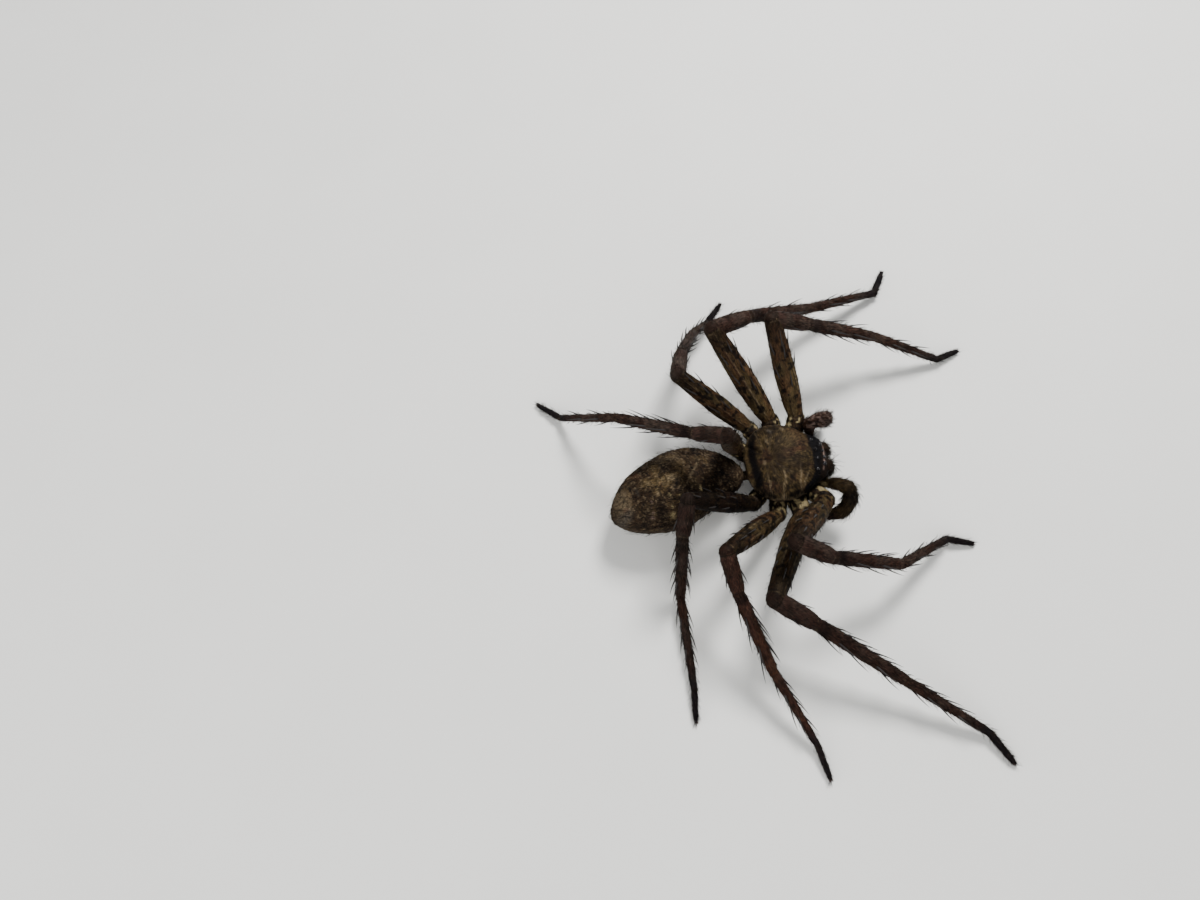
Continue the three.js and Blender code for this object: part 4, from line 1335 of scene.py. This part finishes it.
def make_claws():
    shell = Shell()
    for bars in LIMBS:
        foot = bars[-1]
        level = unit(foot.axis * [1, 1, 0])
        across = np.array([-level[1], level[0], 0])
        for side in (1, -1):
            root = foot.end + across * side * 0.09 - level * 0.05
            path = [root + level * a + np.array([0, 0, b]) + across * side * a * 0.25 for a, b in CLAW_BEND]
            tapered_tube(shell, path, CLAW_RADII, 6)
    return finished("claws", shell)


def make_fangs():
    shell = Shell()
    for side in (1, -1):
        root, knee, tip = (head_point(-y, side * x, z) for x, y, z in FANG["path"])
        steps = np.linspace(0, 1, FANG["rings"])
        radii = FANG["radius"] * (1 - 0.93 * steps**1.4)
        steps = steps[:, None]
        path = root * (1 - steps) ** 2 + 2 * knee * steps * (1 - steps) + tip * steps**2
        tapered_tube(shell, path, radii, 10)
    return finished("fangs", shell)


def ball(shell, middle, radius, rows=12, sides=20):
    rings = []
    for turn in np.linspace(0.06, 0.94, rows) * math.pi:
        angles = np.linspace(0, 2 * math.pi, sides, endpoint=False)
        ring = np.stack([np.cos(angles), np.sin(angles), 0 * angles], axis=1) * math.sin(turn)
        rings.append(middle + radius * (ring + [0, 0, -math.cos(turn)]))
    shell.loft(rings)


def make_eyes():
    shell = Shell()
    for ahead, aside, radius in EYES:
        for side in (1, -1):
            height = carapace_height(np.array(ahead), np.array(aside)) - EYE_SINK * radius
            ball(shell, head_point(ahead, side * aside, float(height)), radius)
    return finished("eyes", shell)


def strips(places, vertex, strip, count):
    """Unrolled limbs side by side on a map, one strip to each."""
    across = (strip + 0.5 + 0.9 * places.round[vertex] / (2 * math.pi)) / count
    return np.stack([0.02 + 0.96 * places.along[vertex], across], axis=1)


def leg_map(places, vertex):
    """Roots of a leg's hairs on its map: one strip to a piece, unrolled from the limb."""
    return strips(places, vertex, places.part[vertex] - PARTS.index("coxa"), len(SEGMENTS))


# Width of the square that the map of the carapace covers
CARAPACE_MAP_SIZE = 9.6


def carapace_map(places, vertex):
    spread = np.stack([places.head_aside[vertex], places.head_ahead[vertex]], axis=1)
    return 0.5 + spread / CARAPACE_MAP_SIZE


def abdomen_map(places, vertex):
    across = 0.5 + 0.48 * places.round[vertex] / math.pi
    return np.stack([across, 0.02 + 0.96 * places.along[vertex]], axis=1)


def face_map(places, vertex):
    """Strips for the feelers, jaws and mouth, unrolled, and the breastplate spread flat beside them."""
    strip = np.where(places.limb[vertex] > 7, places.limb[vertex] - 8, 4)
    rolled = strips(places, vertex, strip, 8)
    spread = np.stack([0.5 + places.ahead[vertex] / 12, 0.8 + places.aside[vertex] / 26], axis=1)
    flat = (places.part[vertex] == PARTS.index("underside"))[:, None]
    return np.clip(np.where(flat, spread, rolled), 0.01, 0.99)


def dress():
    """The skin, the coat and everything hard that grows from them."""
    mesh = skin_mesh()
    points = np.zeros(len(mesh.vertices) * 3)
    mesh.vertices.foreach_get("co", points)
    places = Places(points.reshape(-1, 3))
    points = shape_skin(mesh, places)
    colours = markings(places)
    hairs = Hairs(mesh, points, places, colours, SEED)
    mesh.vertices.foreach_set("co", to_world(points).ravel())
    mesh.polygons.foreach_set("use_smooth", np.ones(len(mesh.polygons), bool))
    mesh.update()
    store_colour(mesh, colours)
    store_grain(mesh, places)
    skin = add_piece("skin", mesh)
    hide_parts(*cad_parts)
    skin.data.materials.append(skin_finish())

    coat = coat_finish()
    pieces = [
        hairs.grow("coat_carapace", places.on("carapace"), carapace_map),
        hairs.grow("coat_abdomen", places.on("abdomen"), abdomen_map),
        hairs.grow("coat_face", ~places.on("carapace", "abdomen", *SEGMENTS), face_map),
    ]
    for limb in range(8):
        side = "left" if limb < 4 else "right"
        chosen = places.on(*SEGMENTS) & (places.limb == limb)
        pieces.append(hairs.grow(f"coat_leg_{side}_{limb % 4 + 1}", chosen, leg_map))
    for piece in pieces:
        piece.data.materials.append(coat)

    spine = horn_finish("spine", *HORNS["spine"])
    for piece in make_spines():
        piece.data.materials.append(spine)
    horn = horn_finish("horn", *HORNS["horn"])
    for piece in (make_claws(), make_fangs()):
        piece.data.materials.append(horn)
    eyes = make_eyes()
    eyes.data.materials.append(eye_finish())


dress()


def place_camera():
    data = bpy.data.cameras.new("camera")
    data.lens = CAMERA_LENS
    data.sensor_width = 36
    data.sensor_fit = "HORIZONTAL"
    data.clip_start = 0.001
    camera = bpy.data.objects.new("camera", data)
    right, up = Vector(CAMERA_RIGHT), Vector(CAMERA_UP)
    turn = Matrix((right, up, right.cross(up))).transposed().to_4x4()
    camera.matrix_world = Matrix.Translation(Vector(SHIFT) + Vector(CAMERA_PLACE) * MM) @ turn
    bpy.context.scene.collection.objects.link(camera)
    bpy.context.scene.camera = camera


def place_lamps():
    for name, lamp in LAMPS.items():
        data = bpy.data.lights.new(name, "AREA")
        data.size = lamp["size"] * MM
        data.energy = lamp["watts"]
        light = bpy.data.objects.new(name, data)
        light.location = Vector(SHIFT) + Vector(lamp["place"]) * MM
        light.rotation_euler = (-Vector(lamp["place"])).to_track_quat("-Z", "Y").to_euler()
        bpy.context.scene.collection.objects.link(light)
    world = bpy.data.worlds.new("studio")
    world.use_nodes = True
    background = world.node_tree.nodes["Background"]
    background.inputs["Color"].default_value = (*SKY, 1)
    background.inputs["Strength"].default_value = SKY_STRENGTH
    bpy.context.scene.world = world


def lay_floor():
    half = FLOOR_SIZE * MM / 2
    mesh = bpy.data.meshes.new("floor")
    corners = [(-half, -half, 0), (half, -half, 0), (half, half, 0), (-half, half, 0)]
    mesh.from_pydata(corners, [], [(0, 1, 2, 3)])
    floor = bpy.data.objects.new("floor", mesh)
    bpy.context.scene.collection.objects.link(floor)
    mesh.materials.append(floor_finish())


place_camera()
place_lamps()
lay_floor()
